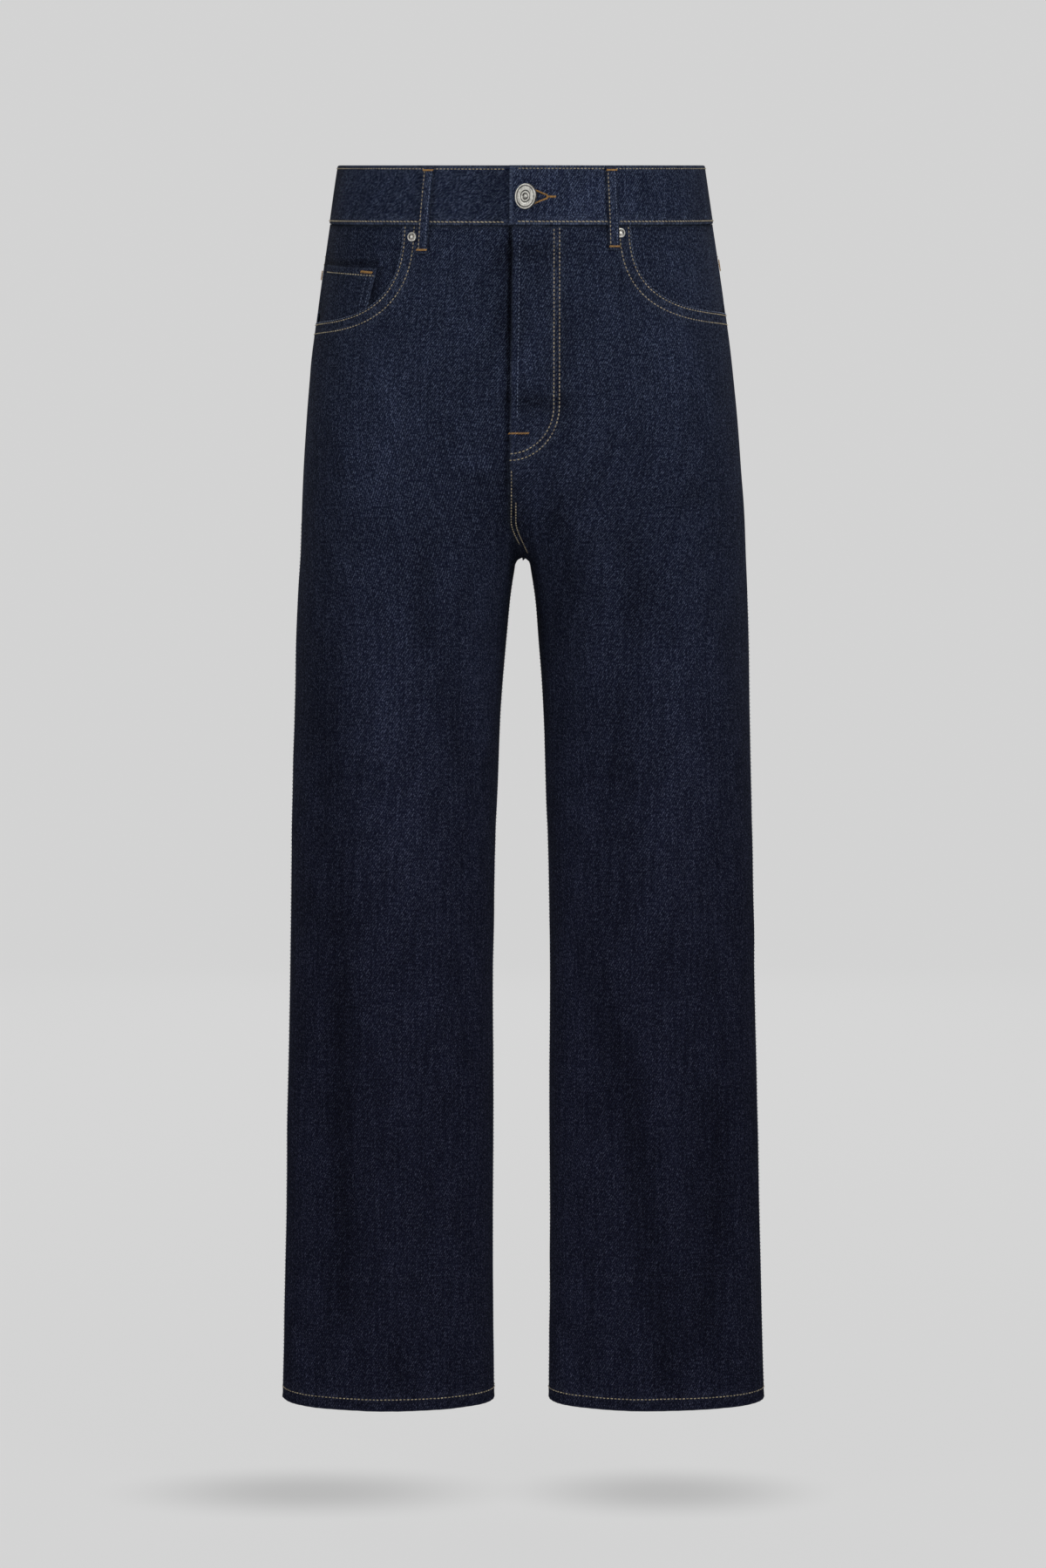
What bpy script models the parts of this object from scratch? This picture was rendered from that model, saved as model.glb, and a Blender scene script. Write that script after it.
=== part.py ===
"""Straight-leg five-pocket jeans in their worn, hollow form.

The front faces -Y, the wearer's left is +X and +Z is up, all in metres. The origin is the centre
of the waist opening, half way up the waistband, where the wearer holds the garment up.

Every cloth piece is a wall round one shared surface. A place on it is given by
  side    +1 for the wearer's left half, -1 for the right half
  turn    0 on the centre seam or the inseam, 1 on the side seam
  drop    distance below the waistband's top edge, measured down the side seam
"""

import math
from collections import namedtuple

import bmesh
import bpy
import numpy as np
from mathutils import Matrix, Vector

# Driving dimensions
OUTSEAM = 1.0
WAISTBAND_HEIGHT = 0.0465
CROTCH_DROP = 0.313
WAIST_TILT = 0.083
WAIST_TILT_FADES_AT = 0.25
SEAM_GAP = 0.0003

# Cloth
PANEL_WALL = 0.0014
HEM_WALL = 0.0028
HEM_HEIGHT = 0.010
FACING_WALL = 0.0012
COIN_POCKET_WALL = 0.0010
BACK_POCKET_WALL = 0.0014
WAISTBAND_WALL = 0.0030
WAISTBAND_PROUD = 0.0005
LOOP_WALL = 0.0016

# Body sections, above the crotch: half rings from the centre seam to the side seam
TorsoRow = namedtuple("TorsoRow", "drop half_width front back")
TORSO = (
    TorsoRow(0.000, 0.1458, 0.1080, 0.1060),
    TorsoRow(0.045, 0.1525, 0.1115, 0.1120),
    TorsoRow(0.100, 0.1608, 0.1145, 0.1225),
    TorsoRow(0.155, 0.1682, 0.1160, 0.1320),
    TorsoRow(0.210, 0.1735, 0.1160, 0.1380),
    TorsoRow(0.260, 0.1768, 0.1130, 0.1360),
    TorsoRow(0.315, 0.1790, 0.1080, 0.1260),
    TorsoRow(0.400, 0.1825, 0.1000, 0.1080),
)
TORSO_SQUARENESS = 2.2

# Leg sections, closed rings; inner is measured beyond the arch under the crotch
LegRow = namedtuple("LegRow", "drop outer inner front back")
LEG = (
    LegRow(0.200, 0.1725, 0.0000, 0.1150, 0.1330),
    LegRow(0.260, 0.1768, 0.0000, 0.1110, 0.1280),
    LegRow(0.313, 0.1790, 0.0000, 0.1060, 0.1180),
    LegRow(0.341, 0.1807, 0.0042, 0.1010, 0.1110),
    LegRow(0.383, 0.1825, 0.0080, 0.0940, 0.1020),
    LegRow(0.439, 0.1838, 0.0121, 0.0850, 0.0910),
    LegRow(0.496, 0.1853, 0.0142, 0.0775, 0.0820),
    LegRow(0.552, 0.1867, 0.0162, 0.0715, 0.0755),
    LegRow(0.610, 0.1878, 0.0173, 0.0665, 0.0705),
    LegRow(0.667, 0.1890, 0.0177, 0.0625, 0.0670),
    LegRow(0.724, 0.1905, 0.0174, 0.0590, 0.0635),
    LegRow(0.782, 0.1919, 0.0174, 0.0560, 0.0605),
    LegRow(0.840, 0.1930, 0.0178, 0.0535, 0.0575),
    LegRow(0.897, 0.1946, 0.0178, 0.0515, 0.0545),
    LegRow(0.955, 0.1960, 0.0175, 0.0500, 0.0520),
    LegRow(1.000, 0.1975, 0.0168, 0.0490, 0.0505),
)
LEG_SQUARENESS = 2.1
CROTCH_ARCH = 0.0055
ARCH_TURN = 0.50
ARCH_SEAM_TURN = 0.09
ARCH_SPREAD = 0.060
LEFT_LEG_WIDER = 0.0016
HIP_SWAY = 0.0012
HIP_SWAY_AT = 0.330
HIP_SWAY_SPREAD = 0.150

# Where the half rings of the body turn into the rings of the legs
BLEND_FROM = 0.180
BLEND_TO = 0.400
BLEND_TURN = 0.30
CROTCH_ROUNDING = 3.0
FRONT_RISE_CURVES_AT = 0.222
BACK_RISE_CURVES_AT = 0.170

# Fly and waistband overlap
FLY_TOP_X = -0.0072
FLY_SEAM_X = -0.0092
FLY_SEAM_STRAIGHT_TO = 0.283
FLY_BOTTOM = 0.232
FLY_WIDTH = 0.036
FLY_LIFT = 0.0020
FLY_STEP_RUN = 0.014
FLY_END_FADE = 0.030
FLY_UNDERLAP = 0.008
FLY_UNDERLAP_ENDS_OVER = 0.012
BAND_END_TURN = -0.030
BAND_UNDERLAP_TURN = 0.230
BAND_TOP_LIFT = 0.0015
BAND_TOP_LIFT_TURN = 0.45
BAND_UNDER_SINK = 0.0018
BAND_UNDER_SINK_FROM = 3.55
BAND_UNDER_SINK_TURN = 0.35

# Yoke seam below the waistband's top edge
YOKE_SIDE_DROP = 0.080
YOKE_CENTRE_DROP = 0.108
YOKE_FADES_AT = 0.190

# Front pocket mouths, seen from the front
MouthRow = namedtuple("MouthRow", "side top_x bottom_drop roundness")
MOUTHS = (MouthRow(-1, 0.0920, 0.1255, 2.8), MouthRow(1, 0.0850, 0.1180, 2.9))
MOUTH_CENTRE_X = 0.170
MOUTH_CUT_OUTER_X = 0.250
MOUTH_CUT_TOP_Z = 0.050
MOUTH_CUT_NEAR_Y = -0.200
MOUTH_CUT_FAR_Y = 0.020

# Folds as soft troughs (negative depth) and ridges, seen from the front or from behind
FoldRow = namedtuple("FoldRow", "face x_top drop_top x_bottom drop_bottom width depth")
FOLDS = (
    FoldRow("front", -0.093, 0.340, -0.090, 0.700, 0.030, 0.0030),
    FoldRow("front", -0.147, 0.600, -0.140, 0.930, 0.014, -0.0040),
    FoldRow("front", -0.055, 0.410, -0.038, 0.500, 0.013, -0.0028),
    FoldRow("front", 0.044, 0.620, 0.107, 0.870, 0.018, -0.0045),
    FoldRow("front", 0.107, 0.870, 0.121, 0.995, 0.018, -0.0035),
    FoldRow("front", 0.150, 0.640, 0.142, 0.960, 0.020, -0.0030),
    FoldRow("front", 0.100, 0.340, 0.098, 0.620, 0.032, 0.0030),
    FoldRow("back", -0.090, 0.350, -0.104, 0.470, 0.020, -0.0040),
    FoldRow("back", -0.125, 0.560, -0.085, 0.640, 0.018, -0.0035),
    FoldRow("back", -0.110, 0.700, -0.120, 0.980, 0.022, -0.0040),
    FoldRow("back", 0.088, 0.345, 0.108, 0.460, 0.020, -0.0040),
    FoldRow("back", 0.070, 0.570, 0.118, 0.650, 0.018, -0.0035),
    FoldRow("back", 0.095, 0.690, 0.116, 0.985, 0.022, -0.0045),
)
FOLD_END = 0.040

# Back pockets, on the back panels
BACK_POCKET_TURN = 0.47
BACK_POCKET_TOP = 0.128
BACK_POCKET_TOP_HALF = 0.072
BACK_POCKET_BOTTOM_HALF = 0.061
BACK_POCKET_HEIGHT = 0.156
BACK_POCKET_POINT = 0.024
BACK_POCKET_LEAN = 0.05
BACK_POCKET_SEAT = 0.0006

# Coin pocket and facings, under the fronts
COIN_POCKET_INNER_X = 0.1135
COIN_POCKET_LEAN = 0.25
COIN_POCKET_TOP_INNER = 0.0810
COIN_POCKET_TOP_OUTER = 0.0780
COIN_POCKET_BOTTOM = 0.150
COIN_POCKET_OUTER_TURN = 0.90
COIN_POCKET_CLEAR = 0.0004
FACING_INNER_X = 0.070
FACING_LEAN = 0.25
FACING_BOTTOM = 0.158
FACING_CLEAR = 0.0006
FACING_SIDE_RISE_ENDS = 0.012
FACING_SIDE_RISE_GONE = 0.004
FACING_BEND_BY_COIN_POCKET = 0.012

# Belt loops: x at the top and how far the lower end leans outwards
LoopRow = namedtuple("LoopRow", "node side face x lean length")
LOOPS = (
    LoopRow("belt_loop_front_right", -1, "front", 0.0705, 0.0058, 0.0685),
    LoopRow("belt_loop_front_left", 1, "front", 0.0685, 0.0028, 0.0655),
    LoopRow("belt_loop_side_right", -1, "back", 0.1010, 0.0020, 0.0665),
    LoopRow("belt_loop_side_left", 1, "back", 0.1010, 0.0020, 0.0665),
    LoopRow("belt_loop_back", 1, "back", 0.0, 0.0, 0.0665),
)
LOOP_WIDTH = 0.0086
LOOP_TOP = 0.0012
LOOP_PROUD = 0.0012
LOOP_OFF_BAND_AT = 0.66
LOOP_OFF_BAND_OVER = 0.20
LOOP_LEFT_EXTRA = 0.0006

# Metal trim
BUTTON_X = 0.0072
BUTTON_DROP = 0.0245
BUTTON_RADIUS = 0.0100
BUTTON_THICK = 0.0032
BUTTON_STEM_RADIUS = 0.0030
BUTTON_STEM_LENGTH = 0.0042
BUTTON_YAW = math.radians(36)
BUTTON_RIM = 0.0006
BUTTON_RING_RADIUS = 0.0031
RivetRow = namedtuple("RivetRow", "node side x drop")
RIVETS = (
    RivetRow("rivet_right", -1, 0.0843, 0.0560),
    RivetRow("rivet_left", 1, 0.0766, 0.0528),
)
RIVET_RADIUS = 0.0038
RIVET_THICK = 0.0013

# Mesh density
PANEL_COLUMNS = 15
PANEL_COLUMN_EASE = 1.1
POCKET_COLUMNS = 17
BAND_COLUMNS = 66
MOUTH_STEPS = 16
FINE_STEPS = 400
NEARBY_TURN = 0.05

TOP_Z = WAISTBAND_HEIGHT / 2

Look = namedtuple("Look", "color roughness metallic")
DENIM = Look((0.018, 0.022, 0.040), 0.92, 0.0)
DENIM_BAND = Look((0.021, 0.025, 0.044), 0.92, 0.0)
SILVER = Look((0.72, 0.71, 0.68), 0.32, 1.0)


def clear_scene():
    for obj in list(bpy.data.objects):
        bpy.data.objects.remove(obj, do_unlink=True)


def smoothstep(value):
    """0 below 0, 1 above 1, and an even S between."""
    value = np.clip(value, 0.0, 1.0)
    return value * value * (3 - 2 * value)


def from_table(rows, column, drop):
    """A smooth curve through one column of a table, read at drop."""
    places = np.array([row.drop for row in rows])
    values = np.array([getattr(row, column) for row in rows])
    slopes = np.gradient(values, places)
    index = np.clip(np.searchsorted(places, drop) - 1, 0, len(rows) - 2)
    span = places[index + 1] - places[index]
    part = np.clip((drop - places[index]) / span, 0.0, 1.0)
    ease = part * part * (3 - 2 * part)
    leave = part * (1 - part) ** 2 * span * slopes[index]
    arrive = part * part * (part - 1) * span * slopes[index + 1]
    return values[index] * (1 - ease) + values[index + 1] * ease + leave + arrive


def signed_power(value, power):
    return np.sign(value) * np.abs(value) ** power


def torso_share(across, drop, curves_at):
    """How much of the body's half ring is left: 1 above the rise's curve, 0 down the leg.

    On the centre seam it follows a quarter ellipse down to the crotch. Away from the seam the
    corner at the crotch is rounded off, and further out the change is long and even.
    """
    part = np.maximum((drop - curves_at) / (CROTCH_DROP - curves_at), 0.0)
    room = 1 - part * part
    rounding = CROTCH_ROUNDING * across
    at_edge = np.sqrt((room + np.sqrt(room * room + rounding * rounding)) / 2)
    at_edge = np.minimum(at_edge, 1.0)
    at_edge = at_edge * (1 - smoothstep((drop - CROTCH_DROP) / (BLEND_TO - CROTCH_DROP)))
    at_side = 1 - smoothstep((drop - BLEND_FROM) / (BLEND_TO - BLEND_FROM))
    return at_edge + (at_side - at_edge) * smoothstep(across / BLEND_TURN)


def inner_arch(across, drop):
    """The round top of the gap between the legs, spread out softly away from the inseam."""
    below = np.clip(drop - CROTCH_DROP, 0.0, CROTCH_ARCH)
    at_seam = np.sqrt(CROTCH_ARCH**2 - (CROTCH_ARCH - below) ** 2)
    spread = CROTCH_ARCH * smoothstep((drop - CROTCH_DROP + ARCH_SPREAD) / (2 * ARCH_SPREAD))
    share = smoothstep(across / ARCH_SEAM_TURN)
    return (at_seam + (spread - at_seam) * share) * (1 - smoothstep(across / ARCH_TURN))


def body_point(side, face, turn, drop):
    """The plain form before folds, as arrays of x, y and z."""
    turn, drop = np.broadcast_arrays(np.asarray(turn, float), np.asarray(drop, float))
    across = np.abs(turn)
    facing = -1 if face == "front" else 1
    angle = across * math.pi / 2
    power = 2 / TORSO_SQUARENESS
    torso_x = from_table(TORSO, "half_width", drop) * signed_power(np.sin(angle), power)
    torso_y = facing * from_table(TORSO, face, drop) * signed_power(np.cos(angle), power)
    outer = from_table(LEG, "outer", drop)
    inner = np.maximum(from_table(LEG, "inner", drop), 0.0)
    front = from_table(LEG, "front", drop)
    back = from_table(LEG, "back", drop)
    middle_y = (back - front) / 2
    leg_angle = across * math.pi
    power = 2 / LEG_SQUARENESS
    leg_x = (outer + inner) / 2 - (outer - inner) / 2 * signed_power(np.cos(leg_angle), power)
    leg_x = leg_x + inner_arch(across, drop)
    leg_y = middle_y + facing * (back + front) / 2 * signed_power(np.sin(leg_angle), power)
    curves_at = FRONT_RISE_CURVES_AT if face == "front" else BACK_RISE_CURVES_AT
    share = torso_share(across, drop, curves_at)
    x = leg_x + (torso_x - leg_x) * share
    y = leg_y + (torso_y - leg_y) * share
    widen = side * LEFT_LEG_WIDER * smoothstep((drop - CROTCH_DROP) / (OUTSEAM - CROTCH_DROP))
    x = side * np.sign(turn + (turn == 0)) * (x + widen * x / outer)
    x = x + HIP_SWAY * np.exp(-(((drop - HIP_SWAY_AT) / HIP_SWAY_SPREAD) ** 2))
    tilt = WAIST_TILT * (1 - smoothstep(drop / WAIST_TILT_FADES_AT))
    return np.stack([x, y, TOP_Z - drop + tilt * y], axis=-1)


def fold_depth(face, x, drop):
    """How far the folds push the cloth out at a place seen from the front or from behind."""
    total = np.zeros(np.broadcast(x, drop).shape)
    for fold in FOLDS:
        if fold.face != face:
            continue
        run_x = fold.x_bottom - fold.x_top
        run_drop = fold.drop_bottom - fold.drop_top
        length = math.hypot(run_x, run_drop)
        along = ((x - fold.x_top) * run_x + (drop - fold.drop_top) * run_drop) / length
        away = ((x - fold.x_top) * run_drop - (drop - fold.drop_top) * run_x) / length
        fade = smoothstep(along / FOLD_END + 0.5) * smoothstep((length - along) / FOLD_END + 0.5)
        total = total + fold.depth * fade * np.exp(-((away / fold.width) ** 2))
    return total


def grid_normals(points):
    """Outward normals of a grid of points, rows down and columns from centre to side."""
    down = np.gradient(points, axis=0)
    across = np.gradient(points, axis=1)
    normals = np.cross(across, down)
    return normals / np.linalg.norm(normals, axis=-1, keepdims=True)


def outward(normals, side, face):
    """Turns the grid's normals to point out of the garment."""
    flip = side if face == "front" else -side
    return normals * -flip


class Cloth:
    """A grid of places on one half of the garment, with points and outward normals."""

    def __init__(self, side, face, turns, drops, centre_seam=False, side_seam=False):
        self.side = side
        self.face = face
        self.turns = turns
        self.drops = drops
        base = body_point(side, face, turns, drops)
        normals = self.squared(base, centre_seam, side_seam)
        depth = fold_depth(face, base[..., 0], drops)
        self.points = base + normals * depth[..., None]
        self.normals = self.squared(self.points, centre_seam, side_seam)

    def squared(self, points, centre_seam, side_seam):
        """Normals that lie in the seam's plane on each shared edge, so that the walls meet evenly."""
        normals = outward(grid_normals(points), self.side, self.face)
        above = self.drops[:, 0] <= CROTCH_DROP
        if centre_seam:
            on_centre = above & (np.abs(self.turns[:, 0]) < 1e-6)
            normals[on_centre, 0, 0] = 0.0
            normals[~above, 0, 1] = 0.0
            normals[np.isclose(self.drops[:, 0], CROTCH_DROP), 0] = (0.0, 0.0, -1.0)
        if side_seam:
            normals[:, -1, 1] = 0.0
        return normals / np.linalg.norm(normals, axis=-1, keepdims=True)


def add_object(name, mesh_data, look):
    mesh = bpy.data.meshes.new(name)
    mesh_data.to_mesh(mesh)
    mesh_data.free()
    mesh.shade_smooth()
    mesh.set_sharp_from_angle(angle=math.radians(40))
    obj = bpy.data.objects.new(name, mesh)
    bpy.context.scene.collection.objects.link(obj)
    mesh.materials.append(material(look))
    return obj


def material(look):
    made = bpy.data.materials.new("finish")
    made.use_nodes = True
    shader = made.node_tree.nodes["Principled BSDF"]
    shader.inputs["Base Color"].default_value = (*look.color, 1.0)
    shader.inputs["Roughness"].default_value = look.roughness
    shader.inputs["Metallic"].default_value = look.metallic
    return made


def wall(name, outer, inner, look):
    """A closed wall between two grids of points of the same shape."""
    rows, columns = outer.shape[:2]
    form = bmesh.new()
    layers = []
    for grid in (outer, inner):
        layers.append([[form.verts.new(point) for point in row] for row in grid])
    top, under = layers
    for i in range(rows - 1):
        for j in range(columns - 1):
            form.faces.new((top[i][j], top[i][j + 1], top[i + 1][j + 1], top[i + 1][j]))
            form.faces.new((under[i][j], under[i + 1][j], under[i + 1][j + 1], under[i][j + 1]))
    rim = [(0, j) for j in range(columns)]
    rim += [(i, columns - 1) for i in range(1, rows)]
    rim += [(rows - 1, j) for j in range(columns - 2, -1, -1)]
    rim += [(i, 0) for i in range(rows - 2, 0, -1)]
    for (i, j), (k, m) in zip(rim, rim[1:] + rim[:1]):
        form.faces.new((top[i][j], under[i][j], under[k][m], top[k][m]))
    bmesh.ops.recalc_face_normals(form, faces=form.faces)
    return add_object(name, form, look)


def seam_x(drop):
    """Where the front seam lies: nearly straight beside the fly, then to the middle at the crotch."""
    down_fly = smoothstep((drop - WAISTBAND_HEIGHT) / (FLY_BOTTOM - WAISTBAND_HEIGHT))
    back = smoothstep((drop - FLY_SEAM_STRAIGHT_TO) / (CROTCH_DROP - FLY_SEAM_STRAIGHT_TO))
    return (FLY_TOP_X + (FLY_SEAM_X - FLY_TOP_X) * down_fly) * (1 - back)


def turn_at_x(side, face, x, drop):
    """The turn at which a row crosses x on this side; x is measured towards the wearer's left."""
    turns = np.linspace(-0.5, 1.0, FINE_STEPS)
    across = body_point(side, face, turns, drop)[:, 0] * side
    return float(np.interp(x * side, across, turns))


def shared_drops(first):
    """Rows down a panel, close together where the centre seam turns under and round the arch."""
    above = list(np.linspace(first, FRONT_RISE_CURVES_AT, 8)[:-1])
    rise = CROTCH_DROP - FRONT_RISE_CURVES_AT
    curve = [FRONT_RISE_CURVES_AT + rise * math.sin(k / 8 * math.pi / 2) for k in range(9)]
    arch = [CROTCH_DROP + CROTCH_ARCH * (1 - math.cos(k / 3 * math.pi / 2)) for k in (1, 2, 3)]
    thigh = [0.330, 0.350, 0.375]
    leg = list(np.linspace(0.41, OUTSEAM - HEM_HEIGHT, 14)) + [OUTSEAM]
    return np.array(above + curve + arch + thigh + leg)


def panel_turns(starts):
    """Columns from each row's own start to the side seam."""
    steps = np.linspace(0, 1, PANEL_COLUMNS) ** PANEL_COLUMN_EASE
    return starts[:, None] + (1 - starts[:, None]) * steps[None, :]


def panel_wall(drops):
    """Wall thickness down a panel, doubled in the turned hem."""
    in_hem = drops > OUTSEAM - HEM_HEIGHT - 1e-6
    return np.where(in_hem, HEM_WALL, PANEL_WALL)[..., None]


def open_seams(grid, points, centre_x):
    """Moves the panel's edges half a seam gap away from its neighbours."""
    half = SEAM_GAP / 2
    facing = -1 if grid.face == "front" else 1
    moved = points.copy()
    moved[:, -1, 1] += facing * half
    above = grid.drops[:, 0] <= CROTCH_DROP + 1e-6
    below = grid.drops[:, 0] >= CROTCH_DROP - 1e-6
    moved[above, 0, 0] += centre_x * half
    moved[below, 0, 1] += facing * half
    moved[0, :, 2] -= half
    return moved


def front_panel(side):
    drops = shared_drops(WAISTBAND_HEIGHT)
    starts = np.zeros(len(drops))
    lap = np.zeros(len(drops))
    for row, drop in enumerate(drops):
        if drop >= CROTCH_DROP - 1e-6:
            continue
        if side < 0:
            ends = smoothstep((drop - FLY_BOTTOM) / FLY_UNDERLAP_ENDS_OVER + 1)
            lap[row] = FLY_UNDERLAP * (1 - ends)
        starts[row] = turn_at_x(side, "front", seam_x(drop) + lap[row], drop)
    grid = Cloth(
        side,
        "front",
        panel_turns(starts),
        np.repeat(drops[:, None], PANEL_COLUMNS, axis=1),
        centre_seam=True,
        side_seam=True,
    )
    lift = np.zeros(grid.drops.shape)
    if side > 0:
        past_seam = grid.points[..., 0] - seam_x(grid.drops)
        lift = FLY_LIFT * (1 - smoothstep((past_seam - FLY_WIDTH) / FLY_STEP_RUN + 1))
        lift = lift * (1 - smoothstep((grid.drops - FLY_BOTTOM) / FLY_END_FADE))
    outer = open_seams(grid, grid.points + grid.normals * lift[..., None], side)
    inner = outer - grid.normals * panel_wall(grid.drops)
    name = "front_left" if side > 0 else "front_right"
    panel = wall(name, outer, inner, DENIM)
    cut_mouth(panel, side)
    return grid


def cut_mouth(panel, side):
    """Cuts the scooped pocket mouth out of a front panel's upper outer corner."""
    mouth = next(row for row in MOUTHS if row.side == side)
    reach_x = MOUTH_CENTRE_X - mouth.top_x
    reach_z = mouth.bottom_drop - WAISTBAND_HEIGHT
    centre_z = TOP_Z - WAISTBAND_HEIGHT
    outline = []
    for step in range(MOUTH_STEPS + 1):
        angle = step / MOUTH_STEPS * math.pi / 2
        x = MOUTH_CENTRE_X - reach_x * math.cos(angle) ** (2 / mouth.roundness)
        z = centre_z - reach_z * math.sin(angle) ** (2 / mouth.roundness)
        outline.append((side * x, z))
    outline.append((side * MOUTH_CUT_OUTER_X, centre_z - reach_z))
    outline.append((side * MOUTH_CUT_OUTER_X, MOUTH_CUT_TOP_Z))
    outline.append((side * mouth.top_x, MOUTH_CUT_TOP_Z))
    cutter = bmesh.new()
    ends = []
    for y in (MOUTH_CUT_NEAR_Y, MOUTH_CUT_FAR_Y):
        ends.append([cutter.verts.new((x, y, z)) for x, z in outline])
    near, far = ends
    cutter.faces.new(near)
    cutter.faces.new(list(reversed(far)))
    for k in range(len(outline)):
        nxt = (k + 1) % len(outline)
        cutter.faces.new((near[k], far[k], far[nxt], near[nxt]))
    bmesh.ops.recalc_face_normals(cutter, faces=cutter.faces)
    tool = add_object(panel.name + "_mouth_cutter", cutter, DENIM)
    tool.hide_render = True
    tool.display_type = "WIRE"
    cut = panel.modifiers.new("pocket mouth", "BOOLEAN")
    cut.operation = "DIFFERENCE"
    cut.object = tool


def yoke_drop(turn):
    return YOKE_CENTRE_DROP + (YOKE_SIDE_DROP - YOKE_CENTRE_DROP) * np.clip(turn, 0, 1)


def back_drops(turns):
    """Rows of a back panel: they start along the yoke seam and are level further down."""
    level = shared_drops(YOKE_CENTRE_DROP)
    slope = yoke_drop(turns)[None, :] - YOKE_CENTRE_DROP
    fade = np.clip((YOKE_FADES_AT - level) / (YOKE_FADES_AT - YOKE_CENTRE_DROP), 0, 1)
    return level[:, None] + slope * fade[:, None]


def back_panel(side):
    turns = np.linspace(0, 1, PANEL_COLUMNS) ** PANEL_COLUMN_EASE
    drops = back_drops(turns)
    grid = Cloth(
        side,
        "back",
        np.repeat(turns[None, :], len(drops), axis=0),
        drops,
        centre_seam=True,
        side_seam=True,
    )
    outer = open_seams(grid, grid.points, side)
    inner = outer - grid.normals * panel_wall(grid.drops)
    wall("back_left" if side > 0 else "back_right", outer, inner, DENIM)
    return grid


def yoke(side):
    turns = np.linspace(0, 1, PANEL_COLUMNS) ** PANEL_COLUMN_EASE
    parts = np.linspace(0, 1, 4)
    drops = WAISTBAND_HEIGHT + (yoke_drop(turns)[None, :] - WAISTBAND_HEIGHT) * parts[:, None]
    grid = Cloth(
        side,
        "back",
        np.repeat(turns[None, :], len(drops), axis=0),
        drops,
        centre_seam=True,
        side_seam=True,
    )
    outer = open_seams(grid, grid.points, side)
    outer[-1, :, 2] += SEAM_GAP / 2
    inner = outer - grid.normals * PANEL_WALL
    wall("yoke_left" if side > 0 else "yoke_right", outer, inner, DENIM)


def ring_points(places, drop):
    """Points round the whole waist; a place runs 0 to 4 from centre front past the wearer's left."""
    points = []
    for place in places:
        quarter = place % 4
        side = 1 if quarter < 2 else -1
        face = "front" if quarter < 1 or quarter >= 3 else "back"
        turn = {0: quarter, 1: 2 - quarter, 2: quarter - 2, 3: 4 - quarter}[int(quarter)]
        points.append(body_point(side, face, turn, drop))
    return np.array(points)


def waistband():
    """One band, its left end over its right end at the fly."""
    start = BAND_END_TURN
    end = 4 + BAND_UNDERLAP_TURN
    places = np.linspace(start, end, BAND_COLUMNS)
    drops = (0.0, WAISTBAND_HEIGHT / 2, WAISTBAND_HEIGHT - SEAM_GAP)
    points = np.stack([ring_points(places, drop) for drop in drops])
    normals = -grid_normals(points)
    lift = BAND_TOP_LIFT * (1 - smoothstep((places - start) / BAND_TOP_LIFT_TURN))
    sink = BAND_UNDER_SINK * smoothstep((places - BAND_UNDER_SINK_FROM) / BAND_UNDER_SINK_TURN)
    proud = (WAISTBAND_PROUD + lift - sink)[None, :, None]
    outer = points + normals * proud
    inner = outer - normals * WAISTBAND_WALL
    wall("waistband", outer, inner, DENIM_BAND)


def patch_points(side, first_turns, last_turn, drops):
    """Points on the front surface, each row from its own first turn to one last turn."""
    columns = drops.shape[1]
    parts = np.linspace(0, 1, columns)[None, :]
    turns = first_turns[:, None] + (last_turn - first_turns[:, None]) * parts
    return body_point(side, "front", turns, drops), turns


def facing(side):
    """The cloth behind a pocket mouth: level with the front at the side seam, under it below."""
    mouth = next(row for row in MOUTHS if row.side == side)
    rise_ends = mouth.bottom_drop - FACING_SIDE_RISE_ENDS
    in_mouth = np.linspace(WAISTBAND_HEIGHT + SEAM_GAP, rise_ends, 8)
    covered = np.linspace(mouth.bottom_drop - FACING_SIDE_RISE_GONE, FACING_BOTTOM, 4)
    levels = np.concatenate([in_mouth, covered])
    inner_x = FACING_INNER_X + FACING_LEAN * (levels - WAISTBAND_HEIGHT)
    first = [turn_at_x(side, "front", side * x, drop) for x, drop in zip(inner_x, levels)]
    drops = np.repeat(levels[:, None], 12, axis=1)
    points, turns = patch_points(side, np.array(first), 1.0, drops)
    normals = outward(grid_normals(points), side, "front")
    sunk = np.full(drops.shape, PANEL_WALL + FACING_CLEAR)
    if side < 0:
        bend = smoothstep((drops - COIN_POCKET_TOP_OUTER) / FACING_BEND_BY_COIN_POCKET + 1.4)
        sunk = sunk + (COIN_POCKET_WALL + COIN_POCKET_CLEAR) * bend
    at_side = smoothstep((turns - COIN_POCKET_OUTER_TURN) / (1 - COIN_POCKET_OUTER_TURN))
    sunk = np.where(drops <= rise_ends, sunk * (1 - at_side), sunk)
    outer = points - normals * sunk[..., None]
    outer[:, -1, 1] -= SEAM_GAP / 2
    inner = outer - normals * FACING_WALL
    wall("pocket_facing_left" if side > 0 else "pocket_facing_right", outer, inner, DENIM)


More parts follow.
